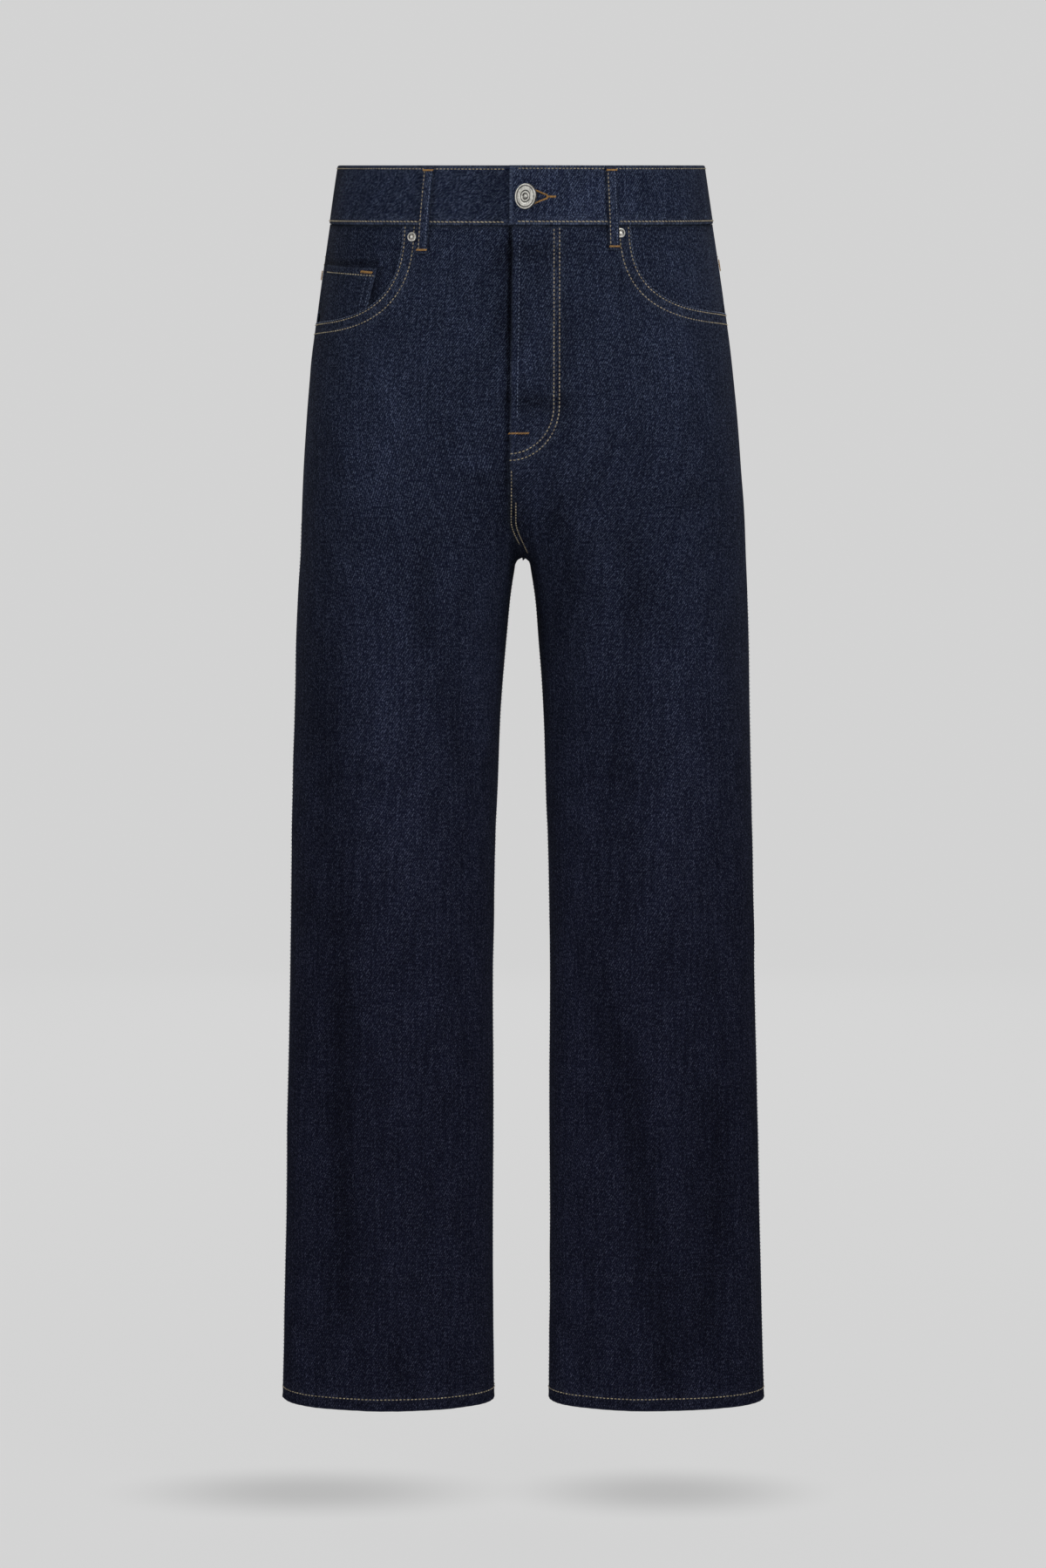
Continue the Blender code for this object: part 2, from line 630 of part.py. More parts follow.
def coin_pocket():
    """A small pocket on the wearer's right facing; its lower end is under the front."""
    rows = 6
    columns = 8
    top = np.linspace(COIN_POCKET_TOP_INNER, COIN_POCKET_TOP_OUTER, columns)
    parts = np.linspace(0, 1, rows)[:, None]
    drops = top[None, :] + (COIN_POCKET_BOTTOM - top[None, :]) * parts
    levels = drops[:, 0]
    inner_x = COIN_POCKET_INNER_X - COIN_POCKET_LEAN * (COIN_POCKET_TOP_INNER - levels)
    first = [turn_at_x(-1, "front", -x, drop) for x, drop in zip(inner_x, levels)]
    points = patch_points(-1, np.array(first), COIN_POCKET_OUTER_TURN, drops)[0]
    normals = outward(grid_normals(points), -1, "front")
    outer = points - normals * (PANEL_WALL + COIN_POCKET_CLEAR)
    wall("coin_pocket", outer, outer - normals * COIN_POCKET_WALL, DENIM)


def on_panel(grid, turn, drop):
    """A point and normal on a panel's own grid, between its points."""
    columns = grid.turns.shape[1] - 1
    j = np.interp(turn, grid.turns[0], np.arange(columns + 1))
    low = min(int(j), columns - 1)
    part = j - low
    column_drops = grid.drops[:, low] * (1 - part) + grid.drops[:, low + 1] * part
    i = np.interp(drop, column_drops, np.arange(len(column_drops)))
    row = min(int(i), len(column_drops) - 2)
    down = i - row
    found = []
    for values in (grid.points, grid.normals):
        upper = values[row, low] * (1 - part) + values[row, low + 1] * part
        lower = values[row + 1, low] * (1 - part) + values[row + 1, low + 1] * part
        found.append(upper * (1 - down) + lower * down)
    return found[0], found[1] / np.linalg.norm(found[1])


def arc_per_turn(side, face, turn, drop):
    """Metres of cloth along a row for each unit of turn, near one place."""
    near = np.array([turn - NEARBY_TURN, turn + NEARBY_TURN])
    ends = body_point(side, face, near, drop)
    return float(np.linalg.norm(ends[1] - ends[0]) / (2 * NEARBY_TURN))


def back_pocket(side, grid):
    """A patch pocket with straight sides and a shallow point, laid on the back panel."""
    rows = 13
    columns = POCKET_COLUMNS
    points = np.zeros((rows, columns, 3))
    normals = np.zeros_like(points)
    scale = arc_per_turn(side, "back", BACK_POCKET_TURN, BACK_POCKET_TOP + BACK_POCKET_HEIGHT / 2)
    for row in range(rows):
        down = row / (rows - 1)
        half = BACK_POCKET_TOP_HALF + (BACK_POCKET_BOTTOM_HALF - BACK_POCKET_TOP_HALF) * down
        for column in range(columns):
            across = -1 + 2 * column / (columns - 1)
            sideways = across * half
            height = BACK_POCKET_HEIGHT - BACK_POCKET_POINT * abs(across)
            drop = BACK_POCKET_TOP + down * height - BACK_POCKET_LEAN * sideways
            turn = BACK_POCKET_TURN + sideways / scale
            points[row, column], normals[row, column] = on_panel(grid, turn, drop)
    inner = points + normals * BACK_POCKET_SEAT
    outer = inner + normals * BACK_POCKET_WALL
    wall("back_pocket_left" if side > 0 else "back_pocket_right", outer, inner, DENIM)


def loop_strip(loop):
    """A belt loop: a flat strip down the waistband, its ends sewn above and below."""
    rows = 9
    points = np.zeros((rows, 3, 3))
    for row in range(rows):
        part = row / (rows - 1)
        drop = LOOP_TOP + loop.length * part
        x = loop.side * (loop.x + loop.lean * part)
        turn = turn_at_x(loop.side, loop.face, x, max(drop, 0.0))
        scale = arc_per_turn(loop.side, loop.face, turn, max(drop, 0.0))
        for column in range(3):
            here = turn + (column - 1) * LOOP_WIDTH / 2 / scale
            points[row, column] = body_point(loop.side, loop.face, here, max(drop, 0.0))
            points[row, column, 2] += max(drop, 0.0) - drop
    normals = outward(grid_normals(points), loop.side, loop.face)
    parts = np.linspace(0, 1, rows)
    over_band = LOOP_PROUD * np.sin(parts * math.pi) ** 0.5
    off_band = smoothstep((parts - LOOP_OFF_BAND_AT) / LOOP_OFF_BAND_OVER)
    rest = SEAM_GAP + WAISTBAND_PROUD * (1 - off_band) + over_band
    if loop.side > 0 and loop.face == "front":
        rest = rest + LOOP_LEFT_EXTRA
    inner = points + normals * rest[:, None, None]
    outer = inner + normals * LOOP_WALL
    wall(loop.node, outer, inner, DENIM_BAND)


def turned(name, profile, place, axis, look, steps=24):
    """A solid turned from (radius, height) pairs, standing at place along axis."""
    form = bmesh.new()
    verts = [form.verts.new((radius, 0, height)) for radius, height in profile]
    edges = [form.edges.new(pair) for pair in zip(verts, verts[1:])]
    bmesh.ops.spin(
        form,
        geom=verts + edges,
        cent=(0, 0, 0),
        axis=(0, 0, 1),
        angle=2 * math.pi,
        steps=steps,
        use_duplicate=False,
    )
    bmesh.ops.remove_doubles(form, verts=form.verts, dist=1e-6)
    bmesh.ops.recalc_face_normals(form, faces=form.faces)
    stand = Vector((0, 0, 1)).rotation_difference(Vector(axis)).to_matrix().to_4x4()
    bmesh.ops.transform(form, matrix=Matrix.Translation(place) @ stand, verts=form.verts)
    return add_object(name, form, look)


def fly_button():
    """The tack button's stem and head; it leans so that its face looks to the wearer's right."""
    turn = turn_at_x(1, "front", BUTTON_X, BUTTON_DROP)
    place = Vector(body_point(1, "front", turn, BUTTON_DROP))
    axis = Vector((-math.sin(BUTTON_YAW), -math.cos(BUTTON_YAW), 0))
    band_face = WAISTBAND_PROUD + BAND_TOP_LIFT + SEAM_GAP
    low_edge = BUTTON_STEM_RADIUS * math.sin(BUTTON_YAW)
    foot = place + Vector((0, -band_face - low_edge, 0))
    head = BUTTON_STEM_LENGTH
    face = head + BUTTON_THICK
    rim = BUTTON_RIM
    profile = [
        (0.0, 0.0),
        (BUTTON_STEM_RADIUS, 0.0),
        (BUTTON_STEM_RADIUS, head),
        (BUTTON_RADIUS * 0.86, head),
        (BUTTON_RADIUS, head + BUTTON_THICK * 0.35),
        (BUTTON_RADIUS, head + BUTTON_THICK * 0.75),
        (BUTTON_RADIUS - rim, face),
        (BUTTON_RADIUS - 2.5 * rim, face),
        (BUTTON_RADIUS - 3.5 * rim, face - rim),
        (BUTTON_RING_RADIUS + 2 * rim, face - rim),
        (BUTTON_RING_RADIUS + rim, face),
        (BUTTON_RING_RADIUS, face),
        (BUTTON_RING_RADIUS - rim, face - rim),
        (0.0, face - rim * 0.5),
    ]
    turned("fly_button", profile, foot, axis, SILVER, steps=32)


def rivet(row):
    turn = turn_at_x(row.side, "front", row.side * row.x, row.drop)
    near_turns = np.array([turn - NEARBY_TURN / 2, turn, turn + NEARBY_TURN / 2])
    near = body_point(row.side, "front", near_turns, row.drop)
    below = body_point(row.side, "front", turn, row.drop + RIVET_RADIUS)
    grid = np.stack([near, near + (below - near[1])])
    normal = outward(grid_normals(grid), row.side, "front")[0, 1]
    place = near[1] + normal * SEAM_GAP
    profile = [
        (0.0, 0.0),
        (RIVET_RADIUS, 0.0),
        (RIVET_RADIUS, RIVET_THICK * 0.45),
        (RIVET_RADIUS * 0.80, RIVET_THICK),
        (RIVET_RADIUS * 0.55, RIVET_THICK),
        (RIVET_RADIUS * 0.42, RIVET_THICK * 0.55),
        (RIVET_RADIUS * 0.30, RIVET_THICK * 0.85),
        (0.0, RIVET_THICK),
    ]
    turned(row.node, profile, place, normal, SILVER, steps=20)


def main():
    clear_scene()
    for side in (-1, 1):
        front_panel(side)
        yoke(side)
        back_grid = back_panel(side)
        back_pocket(side, back_grid)
        facing(side)
    coin_pocket()
    waistband()
    for loop in LOOPS:
        loop_strip(loop)
    fly_button()
    for row in RIVETS:
        rivet(row)


main()
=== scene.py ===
"""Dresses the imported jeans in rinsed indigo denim, with their sewing and metal trim.

The front faces -Y, the wearer's left is +X and +Z is up, in metres. A place on the cloth is given by
  side    +1 for the wearer's left half, -1 for the right half
  face    "front" or "back"
  turn    0 on the centre seam or the inseam, 1 on the side seam
  drop    distance below the waistband's top edge, measured down the side seam
"""

import math
from collections import namedtuple

import bpy
import numpy as np
from mathutils import Matrix, Vector, kdtree


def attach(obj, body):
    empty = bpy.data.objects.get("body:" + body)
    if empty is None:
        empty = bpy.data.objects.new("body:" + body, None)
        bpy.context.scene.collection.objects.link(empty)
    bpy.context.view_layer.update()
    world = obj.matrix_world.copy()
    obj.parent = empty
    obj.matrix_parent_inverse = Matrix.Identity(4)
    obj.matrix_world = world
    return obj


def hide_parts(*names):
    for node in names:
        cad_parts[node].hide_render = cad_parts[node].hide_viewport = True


bl_info = {
    "name": "Five-pocket jeans",
    "version": (1, 0, 0),
    "blender": (4, 5, 0),
    "location": "3D View > Sidebar > Jeans",
    "description": "Builds the cloth, sewing and metal trim of a pair of straight-leg jeans",
    "category": "Add Mesh",
}

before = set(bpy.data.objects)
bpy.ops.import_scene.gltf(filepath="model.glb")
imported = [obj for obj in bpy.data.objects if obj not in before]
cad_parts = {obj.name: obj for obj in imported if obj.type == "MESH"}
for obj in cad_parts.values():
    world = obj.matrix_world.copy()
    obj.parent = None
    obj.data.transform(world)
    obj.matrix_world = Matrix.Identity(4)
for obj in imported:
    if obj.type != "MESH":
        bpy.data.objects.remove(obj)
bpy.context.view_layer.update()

# Driving dimensions, the same as the solids'
OUTSEAM = 1.0
WAISTBAND_HEIGHT = 0.0465
CROTCH_DROP = 0.313
WAIST_TILT = 0.083
WAIST_TILT_FADES_AT = 0.25
SEAM_GAP = 0.00004
TOP_Z = WAISTBAND_HEIGHT / 2

# Cloth
PANEL_WALL = 0.0014
HEM_WALL = 0.0028
HEM_HEIGHT = 0.010
HEM_WALL_RUN = 0.001
FACING_WALL = 0.0012
COIN_POCKET_WALL = 0.0010
BACK_POCKET_WALL = 0.0014
WAISTBAND_WALL = 0.0030
WAISTBAND_PROUD = 0.0005
LOOP_WALL = 0.0016

# Body sections above the crotch: half rings from the centre seam to the side seam
TorsoRow = namedtuple("TorsoRow", "drop half_width front back")
TORSO = (
    TorsoRow(0.000, 0.1458, 0.1080, 0.1060),
    TorsoRow(0.045, 0.1525, 0.1115, 0.1120),
    TorsoRow(0.100, 0.1608, 0.1145, 0.1225),
    TorsoRow(0.155, 0.1682, 0.1160, 0.1320),
    TorsoRow(0.210, 0.1735, 0.1160, 0.1380),
    TorsoRow(0.260, 0.1768, 0.1130, 0.1360),
    TorsoRow(0.315, 0.1790, 0.1080, 0.1260),
    TorsoRow(0.400, 0.1825, 0.1000, 0.1080),
)
TORSO_SQUARENESS = 2.2

# Leg sections, closed rings; inner is measured beyond the arch under the crotch
LegRow = namedtuple("LegRow", "drop outer inner front back")
LEG = (
    LegRow(0.200, 0.1725, 0.0000, 0.1150, 0.1330),
    LegRow(0.260, 0.1768, 0.0000, 0.1110, 0.1280),
    LegRow(0.313, 0.1790, 0.0000, 0.1060, 0.1180),
    LegRow(0.341, 0.1807, 0.0042, 0.1010, 0.1110),
    LegRow(0.383, 0.1825, 0.0080, 0.0940, 0.1020),
    LegRow(0.439, 0.1838, 0.0121, 0.0850, 0.0910),
    LegRow(0.496, 0.1853, 0.0142, 0.0775, 0.0820),
    LegRow(0.552, 0.1867, 0.0162, 0.0715, 0.0755),
    LegRow(0.610, 0.1878, 0.0173, 0.0665, 0.0705),
    LegRow(0.667, 0.1890, 0.0177, 0.0625, 0.0670),
    LegRow(0.724, 0.1905, 0.0174, 0.0590, 0.0635),
    LegRow(0.782, 0.1919, 0.0174, 0.0560, 0.0605),
    LegRow(0.840, 0.1930, 0.0178, 0.0535, 0.0575),
    LegRow(0.897, 0.1946, 0.0178, 0.0515, 0.0545),
    LegRow(0.955, 0.1960, 0.0175, 0.0500, 0.0520),
    LegRow(1.000, 0.1975, 0.0168, 0.0490, 0.0505),
)
LEG_SQUARENESS = 2.1
CROTCH_ARCH = 0.0055
ARCH_TURN = 0.50
ARCH_SEAM_TURN = 0.09
ARCH_SPREAD = 0.060
LEFT_LEG_WIDER = 0.0016
HIP_SWAY = 0.0012
HIP_SWAY_AT = 0.330
HIP_SWAY_SPREAD = 0.150
BLEND_FROM = 0.180
BLEND_TO = 0.400
BLEND_TURN = 0.30
CROTCH_ROUNDING = 3.0
FRONT_RISE_CURVES_AT = 0.222
BACK_RISE_CURVES_AT = 0.170

# Fly and waistband overlap
FLY_TOP_X = -0.0072
FLY_SEAM_X = -0.0092
FLY_SEAM_STRAIGHT_TO = 0.283
FLY_BOTTOM = 0.232
FLY_WIDTH = 0.036
FLY_LIFT = 0.0020
FLY_STEP_RUN = 0.014
FLY_END_FADE = 0.030
FLY_UNDERLAP = 0.008
FLY_UNDERLAP_ENDS_OVER = 0.012
BAND_END_TURN = -0.030
BAND_UNDERLAP_TURN = 0.230
BAND_TOP_LIFT = 0.0015
BAND_TOP_LIFT_TURN = 0.45
BAND_UNDER_SINK = 0.0018
BAND_UNDER_SINK_FROM = 3.55
BAND_UNDER_SINK_TURN = 0.35
BAND_RIPPLE = 0.00022
BAND_RIPPLES = 31
# The four quarters round the waist: a place there becomes the turn way * place + shift
QuarterRow = namedtuple("QuarterRow", "side face first way shift")
QUARTERS = (
    QuarterRow(1, "front", 0, 1, 0),
    QuarterRow(1, "back", 1, -1, 2),
    QuarterRow(-1, "back", 2, 1, -2),
    QuarterRow(-1, "front", 3, -1, 4),
)

# Yoke seam below the waistband's top edge
YOKE_SIDE_DROP = 0.080
YOKE_CENTRE_DROP = 0.108
YOKE_SLANT_FADES_OVER = 0.05
YOKE_ROWS = 16

# Front pocket mouths, seen from the front
MouthRow = namedtuple("MouthRow", "side top_x bottom_drop roundness")
MOUTHS = {-1: MouthRow(-1, 0.0920, 0.1255, 2.8), 1: MouthRow(1, 0.0850, 0.1180, 2.9)}
MOUTH_CENTRE_X = 0.170
MOUTH_RUNS_ON = 0.006
MOUTH_LAST_TURN = 0.9995

# Back pockets, on the back panels
BACK_POCKET_TURN = 0.47
BACK_POCKET_TOP = 0.128
BACK_POCKET_TOP_HALF = 0.072
BACK_POCKET_BOTTOM_HALF = 0.061
BACK_POCKET_HEIGHT = 0.156
BACK_POCKET_POINT = 0.024
BACK_POCKET_LEAN = 0.05
BACK_POCKET_SEAT = 0.0006
POCKET_GAPE = 0.0012
POCKET_GAPE_DEPTH = 0.012

# Coin pocket and facings, under the fronts
COIN_POCKET_INNER_X = 0.1135
COIN_POCKET_OUTER_X = 0.155
COIN_POCKET_LEAN = 0.25
COIN_POCKET_TOP_INNER = 0.0810
COIN_POCKET_TOP_OUTER = 0.0780
COIN_POCKET_BOTTOM = 0.150
COIN_POCKET_OUTER_TURN = 0.90
COIN_POCKET_CLEAR = 0.0004
FACING_INNER_X = 0.070
FACING_LEAN = 0.25
FACING_BOTTOM = 0.158
FACING_CLEAR = 0.0006
FACING_SIDE_RISE_ENDS = 0.012
FACING_SIDE_RISE_GONE = 0.004
FACING_BEND_BY_COIN_POCKET = 0.012
FACING_BEND_STARTS = 1.4
# Painted shadow on the facing along the coin pocket's top edge and beside its inner edge
COIN_SHADE = 0.50
COIN_SHADE_WIDTH = 0.0034
COIN_SHADE_ABOVE = 0.0010
COIN_SHADE_BESIDE = 0.0015

# Belt loops: x at the top and how far the lower end leans outwards
LoopRow = namedtuple("LoopRow", "node side face x lean length")
LOOPS = (
    LoopRow("belt_loop_front_right", -1, "front", 0.0705, 0.0058, 0.0685),
    LoopRow("belt_loop_front_left", 1, "front", 0.0685, 0.0028, 0.0655),
    LoopRow("belt_loop_side_right", -1, "back", 0.1010, 0.0020, 0.0665),
    LoopRow("belt_loop_side_left", 1, "back", 0.1010, 0.0020, 0.0665),
    LoopRow("belt_loop_back", 1, "back", 0.0, 0.0, 0.0665),
)
LOOP_WIDTH = 0.0086
LOOP_TOP = 0.0012
LOOP_PROUD = 0.0012
LOOP_OFF_BAND_AT = 0.66
LOOP_OFF_BAND_OVER = 0.20
LOOP_LEFT_EXTRA = 0.0006
LOOP_BULGE = 0.00025
LOOP_GROOVE = 0.00022
LOOP_GROOVE_WIDTH = 0.0006
# Painted shade along the loops' side edges and round their rims
LOOP_EDGE_SHADE = 0.45
LOOP_EDGE_FROM = 0.70
LOOP_NEAR = 0.5
LOOP_WEAVE_SHIFT = 0.37

# Metal trim
BUTTON_X = 0.0072
BUTTON_DROP = 0.0245
BUTTON_RADIUS = 0.0100
BUTTON_THICK = 0.0032
BUTTON_STEM_RADIUS = 0.0030
BUTTON_STEM_LENGTH = 0.0042
BUTTON_YAW = math.radians(36)
BUTTON_RIM = 0.0006
BUTTON_RING_RADIUS = 0.0031
BUTTON_DOTS = 24
BUTTON_DOTS_AT = 0.63
BUTTON_DOT_RADII = (0.00058, 0.00042)
BUTTON_GROOVE = 0.0007
RivetRow = namedtuple("RivetRow", "node side x drop")
RIVETS = (
    RivetRow("rivet_right", -1, 0.0843, 0.0560),
    RivetRow("rivet_left", 1, 0.0766, 0.0528),
)
RIVET_RADIUS = 0.0038
RIVET_THICK = 0.0013

# Folds and creases, seen from the front or from behind: x and drop of the top end, x and drop of the
# bottom end, half the width, and the height, which is positive for a ridge and negative for a trough
RidgeRow = namedtuple("RidgeRow", "x_top drop_top x_bottom drop_bottom width height")
FOLDS = {
    "front": (
        (-0.093, 0.340, -0.090, 0.700, 0.030, 0.0030),
        (-0.147, 0.600, -0.140, 0.930, 0.014, -0.0040),
        (-0.055, 0.410, -0.038, 0.500, 0.013, -0.0028),
        (0.044, 0.620, 0.107, 0.870, 0.018, -0.0045),
        (0.107, 0.870, 0.121, 0.995, 0.018, -0.0035),
        (0.150, 0.640, 0.142, 0.960, 0.020, -0.0030),
        (0.100, 0.340, 0.098, 0.620, 0.032, 0.0030),
    ),
    "back": (
        (-0.090, 0.350, -0.104, 0.470, 0.020, -0.0040),
        (-0.125, 0.560, -0.085, 0.640, 0.018, -0.0035),
        (-0.110, 0.700, -0.120, 0.980, 0.022, -0.0040),
        (0.088, 0.345, 0.108, 0.460, 0.020, -0.0040),
        (0.070, 0.570, 0.118, 0.650, 0.018, -0.0035),
        (0.095, 0.690, 0.116, 0.985, 0.022, -0.0045),
    ),
}
FOLD_END = 0.040
CREASES = {
    "front": (
        (-0.081, 0.330, -0.074, 0.430, 0.011, -0.0014),
        (-0.045, 0.275, -0.014, 0.288, 0.006, -0.0013),
        (-0.040, 0.255, -0.012, 0.262, 0.005, 0.0009),
        (-0.022, 0.215, -0.014, 0.300, 0.006, -0.0010),
        (0.027, 0.285, 0.040, 0.345, 0.009, -0.0022),
        (0.040, 0.345, 0.033, 0.440, 0.009, -0.0016),
        (0.085, 0.310, 0.088, 0.430, 0.013, -0.0016),
        (0.088, 0.430, 0.073, 0.600, 0.014, -0.0018),
        (0.126, 0.200, 0.122, 0.440, 0.020, 0.0012),
        (0.166, 0.740, 0.150, 0.980, 0.016, -0.0014),
        (0.003, 0.180, 0.026, 0.184, 0.007, -0.0011),
        (-0.004, 0.094, 0.014, 0.076, 0.006, -0.0009),
        (0.003, 0.120, 0.006, 0.165, 0.010, 0.0008),
        (-0.110, 0.700, -0.100, 0.820, 0.016, -0.0010),
        (-0.070, 0.760, -0.084, 0.940, 0.014, -0.0010),
        (0.066, 0.800, 0.060, 0.960, 0.014, 0.0010),
    ),
    "back": (
        (-0.060, 0.290, -0.120, 0.310, 0.010, -0.0022),
        (-0.045, 0.315, -0.105, 0.345, 0.012, -0.0020),
        (0.060, 0.288, 0.116, 0.306, 0.010, -0.0022),
        (0.048, 0.318, 0.110, 0.350, 0.012, -0.0020),
        (-0.130, 0.500, -0.070, 0.548, 0.013, -0.0022),
        (0.126, 0.512, 0.072, 0.552, 0.013, -0.0022),
        (-0.060, 0.600, -0.130, 0.662, 0.012, -0.0018),
        (0.062, 0.640, 0.126, 0.700, 0.012, -0.0018),
        (-0.075, 0.780, -0.082, 0.960, 0.014, -0.0016),
        (0.150, 0.740, 0.140, 0.970, 0.016, -0.0018),
    ),
}
CREASE_END = 0.030

# Rows of the same kind for where the cloth is painted darker (negative) or paler: painted shade in the
# hollows and painted light on the rounds, with some wear
SHADE_AND_WEAR_ROWS = {
    "front": (
        (-0.154, 0.360, -0.148, 0.640, 0.013, -0.20),
        (-0.148, 0.640, -0.142, 0.930, 0.012, -0.28),
        (-0.158, 0.040, -0.168, 0.150, 0.018, -0.34),
        (-0.170, 0.150, -0.174, 0.320, 0.018, -0.20),
        (0.148, 0.060, 0.160, 0.110, 0.016, 0.12),
        (0.118, 0.050, 0.128, 0.100, 0.020, 0.24),
        (-0.128, 0.050, -0.128, 0.085, 0.018, -0.16),
        (-0.030, 0.340, -0.030, 0.460, 0.009, 0.24),
        (-0.174, 0.320, -0.178, 0.460, 0.014, -0.14),
        (-0.100, 0.150, -0.104, 0.270, 0.026, 0.26),
        (-0.112, 0.360, -0.100, 0.560, 0.024, 0.18),
        (-0.080, 0.270, -0.072, 0.380, 0.012, -0.22),
        (-0.050, 0.232, -0.016, 0.240, 0.008, 0.26),
        (-0.052, 0.246, -0.014, 0.254, 0.006, -0.24),
        (-0.013, 0.060, -0.014, 0.160, 0.009, -0.30),
        (-0.018, 0.070, 0.034, 0.064, 0.011, -0.36),
        (-0.002, 0.105, 0.004, 0.140, 0.012, -0.28),
        (0.002, 0.100, 0.022, 0.078, 0.005, -0.18),
        (0.004, 0.136, 0.007, 0.162, 0.009, 0.22),
        (-0.010, 0.188, 0.032, 0.190, 0.009, -0.55),
        (0.032, 0.090, 0.032, 0.200, 0.007, -0.28),
        (-0.011, 0.246, -0.005, 0.302, 0.005, -0.50),
        (0.010, 0.262, 0.012, 0.312, 0.006, 0.26),
        (0.056, 0.086, 0.080, 0.090, 0.009, -0.20),
        (0.078, 0.262, 0.160, 0.264, 0.010, -0.18),
        (0.098, 0.320, 0.104, 0.370, 0.014, -0.20),
        (0.026, 0.250, 0.036, 0.320, 0.008, -0.24),
        (0.036, 0.320, 0.030, 0.390, 0.007, -0.22),
        (0.042, 0.380, 0.040, 0.540, 0.016, 0.16),
        (0.084, 0.285, 0.088, 0.370, 0.013, -0.24),
        (0.086, 0.400, 0.078, 0.480, 0.014, -0.26),
        (0.076, 0.480, 0.086, 0.620, 0.014, -0.12),
        (0.120, 0.110, 0.124, 0.190, 0.022, 0.22),
        (0.132, 0.360, 0.132, 0.540, 0.020, 0.12),
        (0.036, 0.560, 0.036, 0.990, 0.012, 0.28),
        (-0.036, 0.380, -0.034, 0.980, 0.010, 0.10),
        (0.080, 0.680, 0.100, 0.860, 0.014, -0.16),
        (0.104, 0.860, 0.120, 0.980, 0.014, -0.20),
        (0.160, 0.740, 0.152, 0.950, 0.013, -0.24),
        (-0.090, 0.790, -0.084, 0.860, 0.014, -0.10),
        (-0.110, 0.930, -0.098, 0.985, 0.020, -0.18),
        (-0.174, 0.720, -0.178, 0.980, 0.010, 0.14),
    ),
    "back": (
        (-0.100, 0.150, -0.106, 0.280, 0.028, 0.20),
        (0.100, 0.150, 0.106, 0.280, 0.028, 0.20),
        (-0.104, 0.400, -0.110, 0.560, 0.026, 0.14),
        (0.104, 0.400, 0.112, 0.560, 0.026, 0.14),
        (-0.060, 0.294, -0.116, 0.316, 0.008, -0.24),
        (0.060, 0.292, 0.112, 0.312, 0.008, -0.24),
        (-0.046, 0.322, -0.100, 0.352, 0.009, -0.20),
        (0.048, 0.324, 0.106, 0.356, 0.009, -0.20),
        (-0.128, 0.506, -0.074, 0.552, 0.010, -0.20),
        (0.124, 0.516, 0.074, 0.556, 0.010, -0.20),
        (-0.112, 0.700, -0.122, 0.960, 0.015, -0.20),
        (0.096, 0.700, 0.116, 0.970, 0.015, -0.22),
        (-0.008, 0.120, -0.009, 0.290, 0.008, -0.20),
    ),
}
TONE_END = 0.050
# Painted shade in the troughs of the folds and creases and painted light on their crests, with some wear on
# the crests, for each metre of height
FOLD_SHADE_AND_WEAR = 25.0
TONE_LIMITS = (0.25, 1.8)
# Painted shadow on the cloth just under the waistband
UNDER_BAND_SHADOW = 0.55
UNDER_BAND_WIDTH = 0.0026
# Painted shadow beside the fly's edge on the wearer's right, and a painted highlight on the fly just past its
# edge
FLY_EDGE_SHADOW = 0.60
FLY_EDGE_HIGHLIGHT = 0.30
FLY_EDGE_WIDTH = 0.0022

# Painted shade and a painted highlight on the waistband, at places round it, and a slow unevenness made by
# two crossed waves
BandTone = namedtuple("BandTone", "place width strength")
BAND_SHADES = (
    BandTone(BAND_END_TURN + 3.97, 0.035, -0.22),
    BandTone(0.96, 0.16, -0.28),
    BandTone(3.06, 0.16, -0.42),
)
BAND_HIGHLIGHT = BandTone(0.22, 0.12, 0.22)
BAND_HIGHLIGHT_BELOW = 0.03
BAND_MOTTLE = 0.10
BAND_MOTTLE_WAVES = ((5.3, 0.6), (2.1, 1.9))

# Slow waves in the cloth: how many across and down a metre, how high, and where they start
WaveRow = namedtuple("WaveRow", "across down height start")
WAVES = (
    WaveRow(9.0, 2.2, 0.00050, 0.4),
    WaveRow(-14.0, 4.5, 0.00035, 2.1),
    WaveRow(21.0, -7.0, 0.00022, 4.4),
    WaveRow(33.0, 11.0, 0.00014, 1.3),
    WaveRow(-47.0, 19.0, 0.00010, 3.2),
)
WAVES_START_BEHIND = 1.7
WAVE_BEND = 0.8
WAVE_BEND_PITCH = 0.37
WAVES_START_DROP = 0.060
WAVES_FULL_DROP = 0.160
WAVES_OFF_SIDE = 0.06
WAVES_OFF_INSEAM = 0.04

# Valleys along the thick seams, and the rope marks round the hems
BAND_VALLEY = 0.0010
BAND_VALLEY_HEIGHT = 0.0042
SEAM_VALLEY = 0.0010
FLY_EDGE_VALLEY = 0.0018
SEAM_VALLEY_WIDTH = 0.0045
HEM_ROPE_PITCH = 0.0085
HEM_ROPE_DEPTH = 0.00022
HEM_ROPE_STARTS = 0.002
HEM_ROPE_ROUND = 0.20
HEM_ROPE_SLANT = 0.7

# Sewing, in the front view where not said otherwise
MOUTH_STITCHES = (0.0021, 0.0092)
MOUTH_EDGE_STITCH = 0.0006
FLY_STITCHES = ((0.0246, -0.2066), (0.0289, -0.2116))
FLY_CURVE_TOP_Z = -0.170
FLY_CURVE_CENTRE_X = -0.0101
FLY_STITCH_STARTS = 0.010
FLY_STITCH_SHIFT = 0.0006
FLY_EDGE_STITCH = 0.0060
# Below the fly: distance from the front seam, first drop and last drop
RISE_STITCHES = ((0.0016, 0.243, 0.302), (0.0050, 0.268, 0.309))
